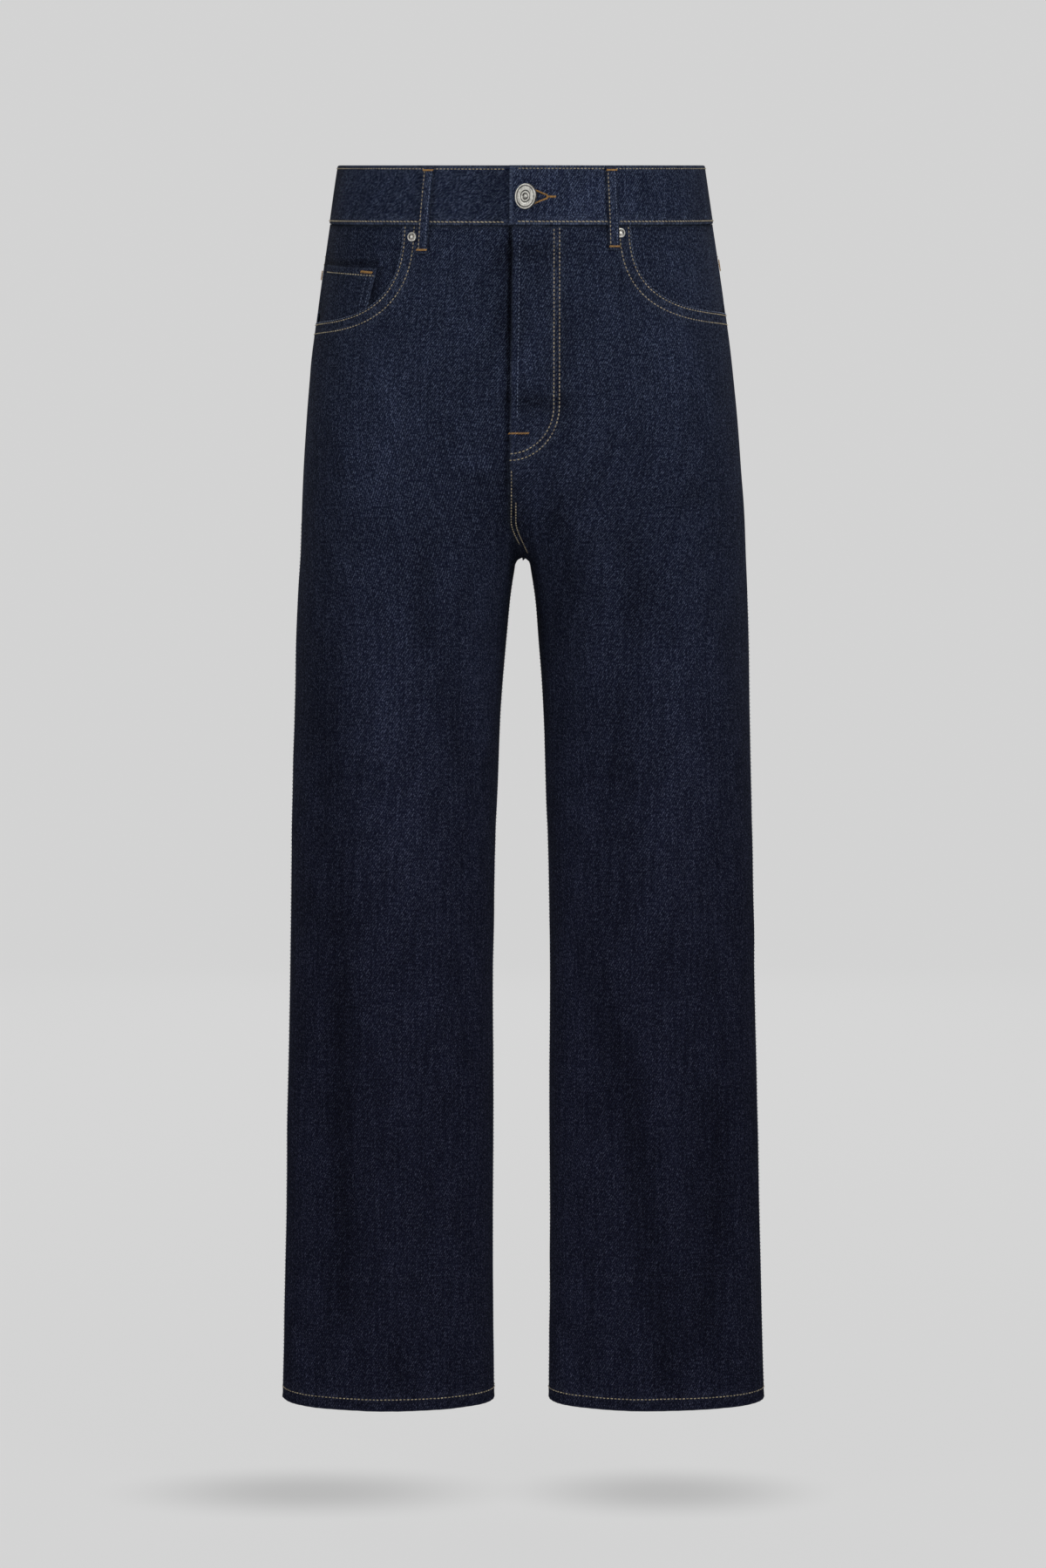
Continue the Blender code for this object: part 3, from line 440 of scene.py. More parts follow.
# Faint lines down the legs: turn of the seam, distance from it and first drop
LEG_STITCHES = ((1, 0.0045, 0.285), (0, 0.0030, CROTCH_DROP + 0.020))
BAND_STITCHES = (0.0028, WAISTBAND_HEIGHT - 0.0026)
HEM_STITCH = 0.0100
FELL_STITCHES = (0.0016, 0.0078)
LOOP_STITCHES = (-0.0030, 0.0024)
COIN_STITCH_BELOW_TOP = 0.0062
COIN_STITCH_INSETS = (0.0020, 0.0065)
COIN_STITCH_ENDS = 0.112
POCKET_TOP_STITCHES = (0.013, 0.019)
SEAM_REACH = 0.004
THREAD_RISE = 0.0001

# Mesh density
PANEL_SPACING = 0.0036
HEM_SPACING = 0.0016
HEM_FINE_HEIGHT = 0.016
PANEL_COLUMNS = 78
PANEL_COLUMN_POWER = 1.12
PATH_SAMPLES = 700
FINE_STEPS = 400
VIEW_ROUNDS = 5
RIM_STEPS = 4
RIM_ROOM = 0.45

# How far apart places are read for normals, and for turning a distance into a turn
NORMAL_TURN_STEP = 0.004
NORMAL_DROP_STEP = 0.002
SEAM_SQUARING = 0.03
TURN_PROBE = 0.02
POCKET_PROBE = 0.05
ARC_FIRST_TURN = -0.1
ARC_STEP = 0.01
ARC_COLUMNS = 111
ARC_ROWS = 101
ARC_MIDDLE = 60

# Rows and columns of the smaller pieces, and samples of the rise: above it, round it, arch and leg
FACING_GRID = (44, 48)
COIN_POCKET_GRID = (34, 30)
BACK_POCKET_GRID = (46, 45)
BAND_GRID = (18, 330)
LOOP_GRID = (44, 19)
RISE_SAMPLES = (60, 240, 40, 340)

# Finishes of the outer and the inner face
DENIM_CLOTHS = ("rinsed_denim", "denim_reverse")
BAND_CLOTHS = ("denim_band", "denim_band")

Patch = namedtuple("Patch", "name side face turns drops")


# ----------------------------------------------------------------------
# Settings
# ----------------------------------------------------------------------


COLOUR = dict(subtype="COLOR", size=3, min=0.0, max=1.0)
SHORT_LENGTH = dict(subtype="DISTANCE", unit="LENGTH", precision=5)


class ClothSettings(bpy.types.PropertyGroup):
    indigo: bpy.props.FloatVectorProperty(
        name="Indigo",
        description="Colour of the dyed warp yarn",
        default=(0.0111, 0.0153, 0.0386),
        **COLOUR,
    )
    fleck: bpy.props.FloatVectorProperty(
        name="Fleck",
        description="Colour of the pale weft where it shows between the ribs",
        default=(0.114, 0.146, 0.224),
        **COLOUR,
    )
    reverse: bpy.props.FloatVectorProperty(
        name="Reverse side",
        description="Colour of the cloth's inside, where most of the weft shows",
        default=(0.135, 0.160, 0.205),
        **COLOUR,
    )
    weft_share: bpy.props.FloatProperty(
        name="Weft share",
        description="How much of the pale weft shows between the dyed yarns",
        min=0.0, max=2.0, default=1.0,
    )
    # The cloth darkens from the hips down; this is what is left of its colour at the hem
    deep_tint: bpy.props.FloatVectorProperty(
        name="Deep tint",
        description="What is left of the colour at the hem, where the rinse took out the least dye",
        default=(0.76, 0.65, 0.66),
        **COLOUR,
    )
    crease_strength: bpy.props.FloatProperty(
        name="Crease strength",
        description="How deep the creases are, against their own sizes",
        min=0.0, max=2.0, default=1.0,
    )


class SewingSettings(bpy.types.PropertyGroup):
    stitch: bpy.props.FloatProperty(
        name="Stitch",
        description="Length of thread that shows in one stitch",
        min=0.001, max=0.006, default=0.0019,
        **SHORT_LENGTH,
    )
    step: bpy.props.FloatProperty(
        name="Step",
        description="Distance from one stitch to the next",
        min=0.0015, max=0.008, default=0.0031,
        **SHORT_LENGTH,
    )
    thread_width: bpy.props.FloatProperty(
        name="Thread width",
        description="Width of the topstitching thread",
        min=0.0002, max=0.002, default=0.00085,
        **SHORT_LENGTH,
    )
    thread: bpy.props.FloatVectorProperty(
        name="Thread",
        description="Colour of the topstitching thread",
        default=(0.56, 0.475, 0.315),
        **COLOUR,
    )
    tack: bpy.props.FloatVectorProperty(
        name="Tack thread",
        description="Colour of the bar tacks' and the buttonhole's thread",
        default=(0.62, 0.33, 0.09),
        **COLOUR,
    )


class TrimSettings(bpy.types.PropertyGroup):
    metal: bpy.props.FloatVectorProperty(
        name="Metal",
        description="Colour of the button and the rivets",
        default=(0.90, 0.88, 0.82),
        **COLOUR,
    )
    tarnish: bpy.props.FloatVectorProperty(
        name="Tarnish",
        description="Colour of the old metal in the hollows",
        default=(0.055, 0.050, 0.045),
        **COLOUR,
    )


class StageSettings(bpy.types.PropertyGroup):
    backdrop: bpy.props.FloatProperty(
        name="Backdrop",
        description="How pale the grey of the floor and the wall is under the lights",
        min=0.0, max=1.0, default=0.05,
    )
    floor_glow: bpy.props.FloatProperty(
        name="Floor glow",
        description="How bright the floor is without the lights",
        min=0.0, max=2.0, default=0.635,
    )
    wall_glow: bpy.props.FloatProperty(
        name="Wall glow",
        description="How bright the wall behind is without the lights",
        min=0.0, max=2.0, default=0.645,
    )
    key_power: bpy.props.FloatProperty(
        name="Key light",
        description="Power of the large soft light in front and above",
        subtype="POWER", unit="POWER", min=0.0, max=2000.0, default=15.6,
    )


def settings():
    scene = bpy.context.scene
    return scene.jeans_cloth, scene.jeans_sewing, scene.jeans_trim, scene.jeans_stage


# ----------------------------------------------------------------------
# The garment's form
# ----------------------------------------------------------------------


def smoothstep(value):
    """0 below 0, 1 above 1, and an even S between."""
    value = np.clip(value, 0.0, 1.0)
    return value * value * (3 - 2 * value)


def ramp(value, low, high):
    """0 below low, 1 above high, and an even S between."""
    return smoothstep((value - low) / (high - low))


def bell(away, width):
    """1 in the middle, fading to both sides over about a width."""
    return np.exp(-((away / width) ** 2))


def unit(vectors):
    return vectors / np.maximum(np.linalg.norm(vectors, axis=-1, keepdims=True), 1e-12)


def from_table(rows, column, drop):
    """A smooth curve through one column of a table, read at drop."""
    places = np.array([row.drop for row in rows])
    values = np.array([getattr(row, column) for row in rows])
    slopes = np.gradient(values, places)
    index = np.clip(np.searchsorted(places, drop) - 1, 0, len(rows) - 2)
    span = places[index + 1] - places[index]
    part = np.clip((drop - places[index]) / span, 0.0, 1.0)
    ease = part * part * (3 - 2 * part)
    leave = part * (1 - part) ** 2 * span * slopes[index]
    arrive = part * part * (part - 1) * span * slopes[index + 1]
    return values[index] * (1 - ease) + values[index + 1] * ease + leave + arrive


def signed_power(value, power):
    return np.sign(value) * np.abs(value) ** power


def torso_share(across, drop, curves_at):
    """How much of the body's half ring is left: 1 above the rise's curve, 0 down the leg."""
    part = np.maximum((drop - curves_at) / (CROTCH_DROP - curves_at), 0.0)
    room = 1 - part * part
    rounding = CROTCH_ROUNDING * across
    at_edge = np.sqrt((room + np.sqrt(room * room + rounding * rounding)) / 2)
    at_edge = np.minimum(at_edge, 1.0)
    at_edge = at_edge * (1 - ramp(drop, CROTCH_DROP, BLEND_TO))
    at_side = 1 - ramp(drop, BLEND_FROM, BLEND_TO)
    return at_edge + (at_side - at_edge) * smoothstep(across / BLEND_TURN)


def inner_arch(across, drop):
    """The round top of the gap between the legs, spread out softly away from the inseam."""
    below = np.clip(drop - CROTCH_DROP, 0.0, CROTCH_ARCH)
    at_seam = np.sqrt(CROTCH_ARCH**2 - (CROTCH_ARCH - below) ** 2)
    spread = CROTCH_ARCH * smoothstep((drop - CROTCH_DROP + ARCH_SPREAD) / (2 * ARCH_SPREAD))
    share = smoothstep(across / ARCH_SEAM_TURN)
    return (at_seam + (spread - at_seam) * share) * (1 - smoothstep(across / ARCH_TURN))


def waist_tilt(drop):
    """How much a place is raised for each metre that it lies back, so that the waist slopes."""
    return WAIST_TILT * (1 - smoothstep(drop / WAIST_TILT_FADES_AT))


def body_point(side, face, turn, drop):
    """The plain form before folds, as arrays of x, y and z."""
    turn, drop = np.broadcast_arrays(np.asarray(turn, float), np.asarray(drop, float))
    across = np.abs(turn)
    facing_way = -1 if face == "front" else 1
    angle = across * math.pi / 2
    power = 2 / TORSO_SQUARENESS
    torso_x = from_table(TORSO, "half_width", drop) * signed_power(np.sin(angle), power)
    torso_y = facing_way * from_table(TORSO, face, drop) * signed_power(np.cos(angle), power)
    outer = from_table(LEG, "outer", drop)
    inner = np.maximum(from_table(LEG, "inner", drop), 0.0)
    front = from_table(LEG, "front", drop)
    back = from_table(LEG, "back", drop)
    leg_angle = across * math.pi
    power = 2 / LEG_SQUARENESS
    leg_x = (outer + inner) / 2 - (outer - inner) / 2 * signed_power(np.cos(leg_angle), power)
    leg_x = leg_x + inner_arch(across, drop)
    leg_y = facing_way * (back + front) / 2 * signed_power(np.sin(leg_angle), power)
    leg_y = leg_y + (back - front) / 2
    curves_at = FRONT_RISE_CURVES_AT if face == "front" else BACK_RISE_CURVES_AT
    share = torso_share(across, drop, curves_at)
    x = leg_x + (torso_x - leg_x) * share
    y = leg_y + (torso_y - leg_y) * share
    widen = side * LEFT_LEG_WIDER * ramp(drop, CROTCH_DROP, OUTSEAM)
    x = side * np.sign(turn + (turn == 0)) * (x + widen * x / outer)
    x = x + HIP_SWAY * bell(drop - HIP_SWAY_AT, HIP_SWAY_SPREAD)
    tilt = waist_tilt(drop)
    return np.stack([x, y, TOP_Z - drop + tilt * y], axis=-1)


def body_normal(side, face, turn, drop):
    """Outward normals of the plain form, square to the seams on the seams."""
    turn, drop = np.broadcast_arrays(np.asarray(turn, float), np.asarray(drop, float))
    step = np.where(np.abs(turn) < 0.5, NORMAL_TURN_STEP, -NORMAL_TURN_STEP)
    here = body_point(side, face, turn, drop)
    across = (body_point(side, face, turn + step, drop) - here) * np.sign(step)[..., None]
    lower = body_point(side, face, turn, drop + NORMAL_DROP_STEP)
    upper = body_point(side, face, turn, drop - NORMAL_DROP_STEP)
    normal = unit(np.cross(across, lower - upper))
    normal = normal * (-side if face == "front" else side)
    at_centre = 1 - smoothstep(np.abs(turn) / SEAM_SQUARING)
    at_side = smoothstep((np.abs(turn) - 1) / SEAM_SQUARING + 1)
    above = drop < CROTCH_DROP
    normal[..., 0] *= 1 - at_centre * above
    normal[..., 1] *= (1 - at_centre * ~above) * (1 - at_side)
    return unit(normal)


def plain_form(side, face, turn, drop):
    """Points and normals of the plain form before folds."""
    return body_point(side, face, turn, drop), body_normal(side, face, turn, drop)


def ridge_sum(rows, face, x, drop, end):
    """The sum of a table's ridges and troughs at places, each fading out at its ends."""
    total = np.zeros(np.broadcast(x, drop).shape)
    for row in rows[face]:
        fold = RidgeRow(*row)
        run_x = fold.x_bottom - fold.x_top
        run_drop = fold.drop_bottom - fold.drop_top
        length = math.hypot(run_x, run_drop)
        along = ((x - fold.x_top) * run_x + (drop - fold.drop_top) * run_drop) / length
        away = ((x - fold.x_top) * run_drop - (drop - fold.drop_top) * run_x) / length
        fade = smoothstep(along / end + 0.5) * smoothstep((length - along) / end + 0.5)
        total = total + fold.height * fade * bell(away, fold.width)
    return total


def waves(face, x, drop):
    """Slow uneven waves that every hanging cloth has."""
    total = np.zeros(np.broadcast(x, drop).shape)
    start = 0.0 if face == "front" else WAVES_START_BEHIND
    for row in WAVES:
        phase = 2 * math.pi * (row.across * x + row.down * drop) + row.start + start
        total = total + row.height * np.sin(phase + WAVE_BEND * np.sin(phase * WAVE_BEND_PITCH + row.start))
    return total


def beside_fly(drop):
    """1 down the open part of the fly, fading out past its end."""
    return 1 - smoothstep((drop - FLY_BOTTOM) / FLY_END_FADE)


def tone_at(face, x, drop):
    """How bright the cloth is painted: 1 is plain, less in the folds, more on their crests; painted shade and
    light, with some wear.
    """
    tone = 1 + ridge_sum(SHADE_AND_WEAR_ROWS, face, x, drop, TONE_END)
    # Painted shade in the troughs of the folds and creases and painted light on their crests
    tone = tone + FOLD_SHADE_AND_WEAR * ridge_sum(FOLDS, face, x, drop, FOLD_END)
    tone = tone + FOLD_SHADE_AND_WEAR * ridge_sum(CREASES, face, x, drop, CREASE_END)
    # Painted shadow just under the waistband
    tone = tone - UNDER_BAND_SHADOW * bell(drop - WAISTBAND_HEIGHT, UNDER_BAND_WIDTH)
    # Painted shadow beside the fly's edge and a painted highlight on the fly just past it
    if face == "front":
        beside = x - seam_x(drop)
        for strength, off in ((-FLY_EDGE_SHADOW, -0.6), (FLY_EDGE_HIGHLIGHT, 1.4)):
            tone = tone + strength * beside_fly(drop) * bell(beside - FLY_EDGE_WIDTH * off, FLY_EDGE_WIDTH)
    return np.clip(tone, *TONE_LIMITS)


def seam_x(drop):
    """Where the front seam lies: nearly straight beside the fly, then to the middle at the crotch."""
    down_fly = ramp(drop, WAISTBAND_HEIGHT, FLY_BOTTOM)
    back = ramp(drop, FLY_SEAM_STRAIGHT_TO, CROTCH_DROP)
    return (FLY_TOP_X + (FLY_SEAM_X - FLY_TOP_X) * down_fly) * (1 - back)


def worn(side, face, turn, drop):
    """The outer face of the cloth with its folds, creases and thick seams, and its normals."""
    turn, drop = np.broadcast_arrays(np.asarray(turn, float), np.asarray(drop, float))
    base, normal = plain_form(side, face, turn, drop)
    x = base[..., 0]
    strength = settings()[0].crease_strength
    lift = ridge_sum(FOLDS, face, x, drop, FOLD_END)
    lift = lift + strength * ridge_sum(CREASES, face, x, drop, CREASE_END)
    settle = ramp(drop, WAVES_START_DROP, WAVES_FULL_DROP)
    off_seams = smoothstep((1 - np.abs(turn)) / WAVES_OFF_SIDE) * smoothstep(np.abs(turn) / WAVES_OFF_INSEAM)
    lift = lift + strength * waves(face, x, drop) * settle * off_seams
    hem = smoothstep((drop - OUTSEAM + HEM_STITCH + HEM_ROPE_STARTS) / HEM_ROPE_STARTS)
    slanted = np.abs(turn) * HEM_ROPE_ROUND + (OUTSEAM - drop) * HEM_ROPE_SLANT
    lift = lift + HEM_ROPE_DEPTH * np.sin(2 * math.pi * slanted / HEM_ROPE_PITCH) * hem
    if face == "front":
        past_seam = x - seam_x(drop)
        above = beside_fly(drop)
        if side > 0:
            fly = FLY_LIFT * (1 - smoothstep((past_seam - FLY_WIDTH) / FLY_STEP_RUN + 1))
            lift = lift + fly * above
            depth = SEAM_VALLEY * (1 - above)
        else:
            depth = SEAM_VALLEY + (FLY_EDGE_VALLEY - SEAM_VALLEY) * above
        lift = lift - depth * bell(past_seam, SEAM_VALLEY_WIDTH) * (drop < CROTCH_DROP)
    valley = 1 - smoothstep((drop - WAISTBAND_HEIGHT) / BAND_VALLEY_HEIGHT)
    lift = lift - BAND_VALLEY * valley
    return base + normal * lift[..., None], normal


def turn_at_x(side, face, x, drop):
    """The turn at which a row crosses x on this side; x is measured towards the wearer's left."""
    turns = np.linspace(-0.5, 1.0, FINE_STEPS)
    across = body_point(side, face, turns, drop)[:, 0] * side
    return float(np.interp(x * side, across, turns))


def turns_at_x(side, face, xs, drops):
    return np.array([turn_at_x(side, face, x, drop) for x, drop in zip(xs, drops)])


def place_in_view(side, face, x, z):
    """The turn and drop of the cloth that shows at x and z, seen straight from the front or back."""
    drop = TOP_Z - z
    turn = 0.0
    for _ in range(VIEW_ROUNDS):
        turn = turn_at_x(side, face, x, drop)
        y = body_point(side, face, turn, drop)[1]
        drop = TOP_Z - z + waist_tilt(drop) * y
    return turn, float(drop)


def runs(points):
    """Distances along each row of a grid of points, from its first point."""
    steps = np.linalg.norm(np.diff(points, axis=1), axis=-1)
    return np.concatenate([np.zeros((len(points), 1)), np.cumsum(steps, axis=1)], axis=1)


def arc_table(side, face):
    """Distances along rows from the middle of the piece, for laying the weave on it."""
    turns = np.linspace(ARC_FIRST_TURN, 1.0, ARC_COLUMNS)
    drops = np.linspace(0.0, OUTSEAM, ARC_ROWS)
    run = runs(body_point(side, face, turns[None, :], drops[:, None]))
    return run - run[:, ARC_MIDDLE : ARC_MIDDLE + 1]


def weave_map(side, face, turns, drops):
    """Metres across and down the cloth, growing to the right and down as seen from outside."""
    table = arc_table(side, face)
    column = np.clip((turns - ARC_FIRST_TURN) / ARC_STEP, 0, ARC_COLUMNS - 1.001)
    row = np.clip(drops / ARC_STEP, 0, ARC_ROWS - 1.001)
    j = column.astype(int)
    i = row.astype(int)
    b = column - j
    a = row - i
    upper = table[i, j] * (1 - b) + table[i, j + 1] * b
    lower = table[i + 1, j] * (1 - b) + table[i + 1, j + 1] * b
    across = upper * (1 - a) + lower * a
    right = side if face == "front" else -side
    return np.stack([right * across, -drops], axis=-1)


# ----------------------------------------------------------------------
# Meshes
# ----------------------------------------------------------------------


def new_object(name, points, faces, materials, face_slots=None):
    mesh = bpy.data.meshes.new(name)
    mesh.from_pydata(points.tolist(), [], faces)
    for material in materials:
        mesh.materials.append(material)
    if face_slots is not None:
        mesh.polygons.foreach_set("material_index", np.asarray(face_slots, np.int32))
    mesh.shade_smooth()
    mesh.update()
    made = bpy.data.objects.new(name, mesh)
    bpy.context.scene.collection.objects.link(made)
    return made


def finishes(*names):
    return [bpy.data.materials[name] for name in names]


def set_point_value(made, name, values):
    attribute = made.data.attributes.new(name, "FLOAT", "POINT")
    attribute.data.foreach_set("value", np.asarray(values, np.float32).ravel())


def set_weave(made, coordinates):
    """Puts one pair of weave coordinates for each point into the piece's UV map."""
    layer = made.data.uv_layers.new(name="weave")
    corners = np.zeros(len(made.data.loops), np.int32)
    made.data.loops.foreach_get("vertex_index", corners)
    layer.data.foreach_set("uv", coordinates[corners].astype(np.float32).ravel())


def rim_places(rows, columns):
    around = [(0, j) for j in range(columns)]
    around += [(i, columns - 1) for i in range(1, rows)]
    around += [(rows - 1, j) for j in range(columns - 2, -1, -1)]
    around += [(i, 0) for i in range(rows - 2, 0, -1)]
    return around


def through_wall(values, rim=None):
    """Values for all of a wall's points: the outer face's, again for the inner face and round the rim."""
    flat = values.reshape(-1, *values.shape[2:])
    if rim is None:
        rim = np.array([values[i, j] for i, j in rim_places(*values.shape[:2])])
    return np.concatenate([flat, flat] + [rim] * (RIM_STEPS - 1))


def cloth_wall(name, outer, normals, wall, weave, near_seam, *cloths):
    """A wall of cloth with rounded edges; its inner face takes the last of the materials."""
    rows, columns = outer.shape[:2]
    wall = np.broadcast_to(np.asarray(wall, float), (rows, columns))
    around = rim_places(rows, columns)
    at = np.array(around)
    within = np.stack([np.clip(at[:, 0], 1, rows - 2), np.clip(at[:, 1], 1, columns - 2)], 1)
    edge = outer[at[:, 0], at[:, 1]]
    reach = edge - outer[within[:, 0], within[:, 1]]
    away = unit(reach)
    full = wall[at[:, 0], at[:, 1]] / 2
    half = np.minimum(full, np.linalg.norm(reach, axis=1) * RIM_ROOM)
    normal = normals[at[:, 0], at[:, 1]]
    top = outer.copy()
    top[at[:, 0], at[:, 1]] = edge - away * half[:, None]
    under = outer - normals * wall[..., None]
    under[at[:, 0], at[:, 1]] -= away * half[:, None]
    centre = top[at[:, 0], at[:, 1]] - normal * full[:, None]
    rings = []
    for step in range(1, RIM_STEPS):
        angle = math.pi * step / RIM_STEPS
        out = away * (half * math.sin(angle))[:, None]
        rings.append(centre + out + normal * (full * math.cos(angle))[:, None])
    count = rows * columns
    points = np.concatenate([top.reshape(-1, 3), under.reshape(-1, 3)] + rings)
    index = np.arange(count).reshape(rows, columns)
    quads = np.stack([index[:-1, :-1], index[:-1, 1:], index[1:, 1:], index[1:, :-1]], -1)
    quads = quads.reshape(-1, 4)
    first = top[1, 1] - top[0, 0]
    turn_over = np.dot(np.cross(top[0, 1] - top[0, 0], first), normals[0, 0]) < 0
    if turn_over:
        quads = quads[:, ::-1]
    faces = quads.tolist() + (quads[:, ::-1] + count).tolist()
    slots = [0] * len(quads) + [1] * len(quads)
    here = index[at[:, 0], at[:, 1]]
    ring = 2 * count + np.arange(len(around))
    levels = [here] + [ring + len(around) * k for k in range(RIM_STEPS - 1)] + [here + count]
    for above, below in zip(levels, levels[1:]):
        strip = np.stack([above, below, np.roll(below, -1), np.roll(above, -1)], -1)
        if turn_over:
            strip = strip[:, ::-1]
        faces += strip.tolist()
        slots += [0] * len(strip)
    made = new_object(name, points, faces, finishes(*cloths), slots)
    set_weave(made, through_wall(weave))
    set_point_value(made, "near_seam", through_wall(near_seam))
    rim = np.zeros(len(points))
    rim[np.concatenate([here, here + count])] = 1.0
    rim[2 * count :] = 1.0
    set_point_value(made, "rim", rim)
    return made


def stand_for(made, node):
    """Every piece rides on the one body and stands for its solid."""
    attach(made, "root")
    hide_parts(node)


def declare(made, node):
    """A cloth piece rides on the one body and stands for its solid, as every piece does."""
    stand_for(made, node)


def set_tone(made, points, face, drops, shade=0.0):
    """Gives a finished wall its tone of painted shade and light, the same through its thickness."""
    tone = tone_at(face, points[..., 0], drops) * (1 - shade)
    set_point_value(made, "tone", through_wall(tone))


def nearness(points, lines):
    """1 on a line of stitches, fading to 0 some millimetres away."""
    spots = np.concatenate([line.points for line in lines])
    tree = kdtree.KDTree(len(spots))
    for k, spot in enumerate(spots):
        tree.insert(spot, k)
    tree.balance()
    away = np.array([tree.find(point)[2] for point in points.reshape(-1, 3)])
    return bell(away, SEAM_REACH).reshape(points.shape[:-1])


# ----------------------------------------------------------------------
# Outlines of the cut pieces
# ----------------------------------------------------------------------


def even_path(side, face, turns, drops, shares):
    """A path on the form, read at shares of its length."""
    points = body_point(side, face, np.array(turns), np.array(drops))
    run = runs(points[None])[0]
    run = run / run[-1]
    return np.interp(shares, run, turns), np.interp(shares, run, drops)


def rise_drops(first, curves_at):
    """Drops down the centre seam and the inseam, close together where the rise turns under."""
    before, round_rise, round_arch, down_leg = RISE_SAMPLES
    above = np.linspace(first, curves_at, before)[:-1]
    steps = np.linspace(0, 1, round_rise)
    curve = curves_at + (CROTCH_DROP - curves_at) * np.sin(steps * math.pi / 2)
    arch = CROTCH_DROP + CROTCH_ARCH * (1 - np.cos(np.linspace(0, 1, round_arch)[1:] * math.pi / 2))
    leg = np.linspace(CROTCH_DROP + CROTCH_ARCH, OUTSEAM, down_leg)[1:]
    return np.concatenate([above, curve, arch, leg])


def row_shares():
    """Shares of a panel's length for its rows, closer together in the hem."""
    fine = HEM_FINE_HEIGHT
    body = np.linspace(0, 1 - fine, int((1 - fine) / PANEL_SPACING))
    hem = np.linspace(1 - fine, 1, int(fine / HEM_SPACING) + 1)[1:]
    return np.concatenate([body, hem])


def mouth_outline(side, offset=0.0, samples=160):
    """The pocket mouth's curve in the front view, moved into the front's cloth by offset."""
    mouth = MOUTHS[side]
    angle = np.linspace(0, math.pi / 2, samples)
    reach_x = MOUTH_CENTRE_X - mouth.top_x
    reach_z = mouth.bottom_drop - WAISTBAND_HEIGHT
    x = MOUTH_CENTRE_X - reach_x * np.cos(angle) ** (2 / mouth.roundness)
    z = TOP_Z - WAISTBAND_HEIGHT - reach_z * np.sin(angle) ** (2 / mouth.roundness)
    x = np.concatenate([x, [MOUTH_CENTRE_X + MOUTH_RUNS_ON]])
    z = np.concatenate([z, [z[-1]]])
    along = unit(np.stack([np.gradient(x), np.gradient(z)], -1))
    return side * (x + along[:, 1] * offset), z - along[:, 0] * offset


def mouth_path(side, offset=0.0):
    """Turns and drops along the mouth, from the waistband seam to the side seam."""
    xs, zs = mouth_outline(side, offset)
    places = [place_in_view(side, "front", x, z) for x, z in zip(xs, zs)]
    turns, drops = np.array(places).T
    keep = (turns < MOUTH_LAST_TURN) & (drops > WAISTBAND_HEIGHT)
    turns, drops = turns[keep], drops[keep]
    turns = np.concatenate([[turns[0]], turns, [1.0]])
    drops = np.concatenate([[WAISTBAND_HEIGHT], drops, [drops[-1]]])
    return turns, drops


def panel_patch(name, side, face, inner, outer):
    """Rows of places from an inner path to an outer path, at even shares of both."""
    shares = row_shares()
    inner_turns, inner_drops = even_path(side, face, *inner, shares)
    outer_turns, outer_drops = even_path(side, face, *outer, shares)
    across = np.linspace(0, 1, PANEL_COLUMNS) ** PANEL_COLUMN_POWER
    turns = inner_turns[:, None] + (outer_turns - inner_turns)[:, None] * across
    drops = inner_drops[:, None] + (outer_drops - inner_drops)[:, None] * across
    return Patch(name, side, face, turns, drops)


def opened(patch, points):
    """Moves a panel's edges half a seam gap away from its neighbours."""
    half = SEAM_GAP / 2
    facing_way = -1 if patch.face == "front" else 1
    points = points.copy()
    points[:, -1, 1] += facing_way * half
    above = patch.drops[:, 0] <= CROTCH_DROP
    points[above, 0, 0] += patch.side * half
    points[~above, 0, 1] += facing_way * half
    points[0, :, 2] -= half
    return points


def panel_wall(drops):
    """Wall thickness down a panel, doubled in the turned hem."""
    return PANEL_WALL + (HEM_WALL - PANEL_WALL) * smoothstep((drops - OUTSEAM + HEM_HEIGHT) / HEM_WALL_RUN)


def make_cloth(patch, points, normals, wall, lines, shade=0.0):
    """Makes a piece of denim from its outer face, with its weave, its worn seams and painted edge highlight,
    and its tone of painted shade and light.
    """
    side, face, turns, drops = patch[1:]
    near = nearness(points, lines) if lines else np.zeros(drops.shape)
    weave = weave_map(side, face, turns, drops)
    made = cloth_wall(patch.name + "_cloth", points, normals, wall, weave, near, *DENIM_CLOTHS)
    set_tone(made, points, face, drops, shade)
    declare(made, patch.name)


def make_panel(patch, lines, wall):
    points, normals = worn(*patch[1:])
    make_cloth(patch, opened(patch, points), normals, wall, lines)


# ----------------------------------------------------------------------
# Lines of stitches on the panels
# ----------------------------------------------------------------------

Line = namedtuple("Line", "points normals")


def line_on(side, face, turns, drops, rise=THREAD_RISE, surface=worn, count=260):
    """A line of stitches through places on a panel, or on the form that another function gives."""
    turns, drops = even_path(side, face, turns, drops, np.linspace(0, 1, count))
    points, normals = surface(side, face, turns, drops)
    return Line(points + normals * rise, normals)


def view_line(side, face, xs, zs):
    """A line of stitches through places seen straight from the front or back."""
    places = np.array([place_in_view(side, face, x, z) for x, z in zip(xs, zs)])
    return line_on(side, face, *places.T)


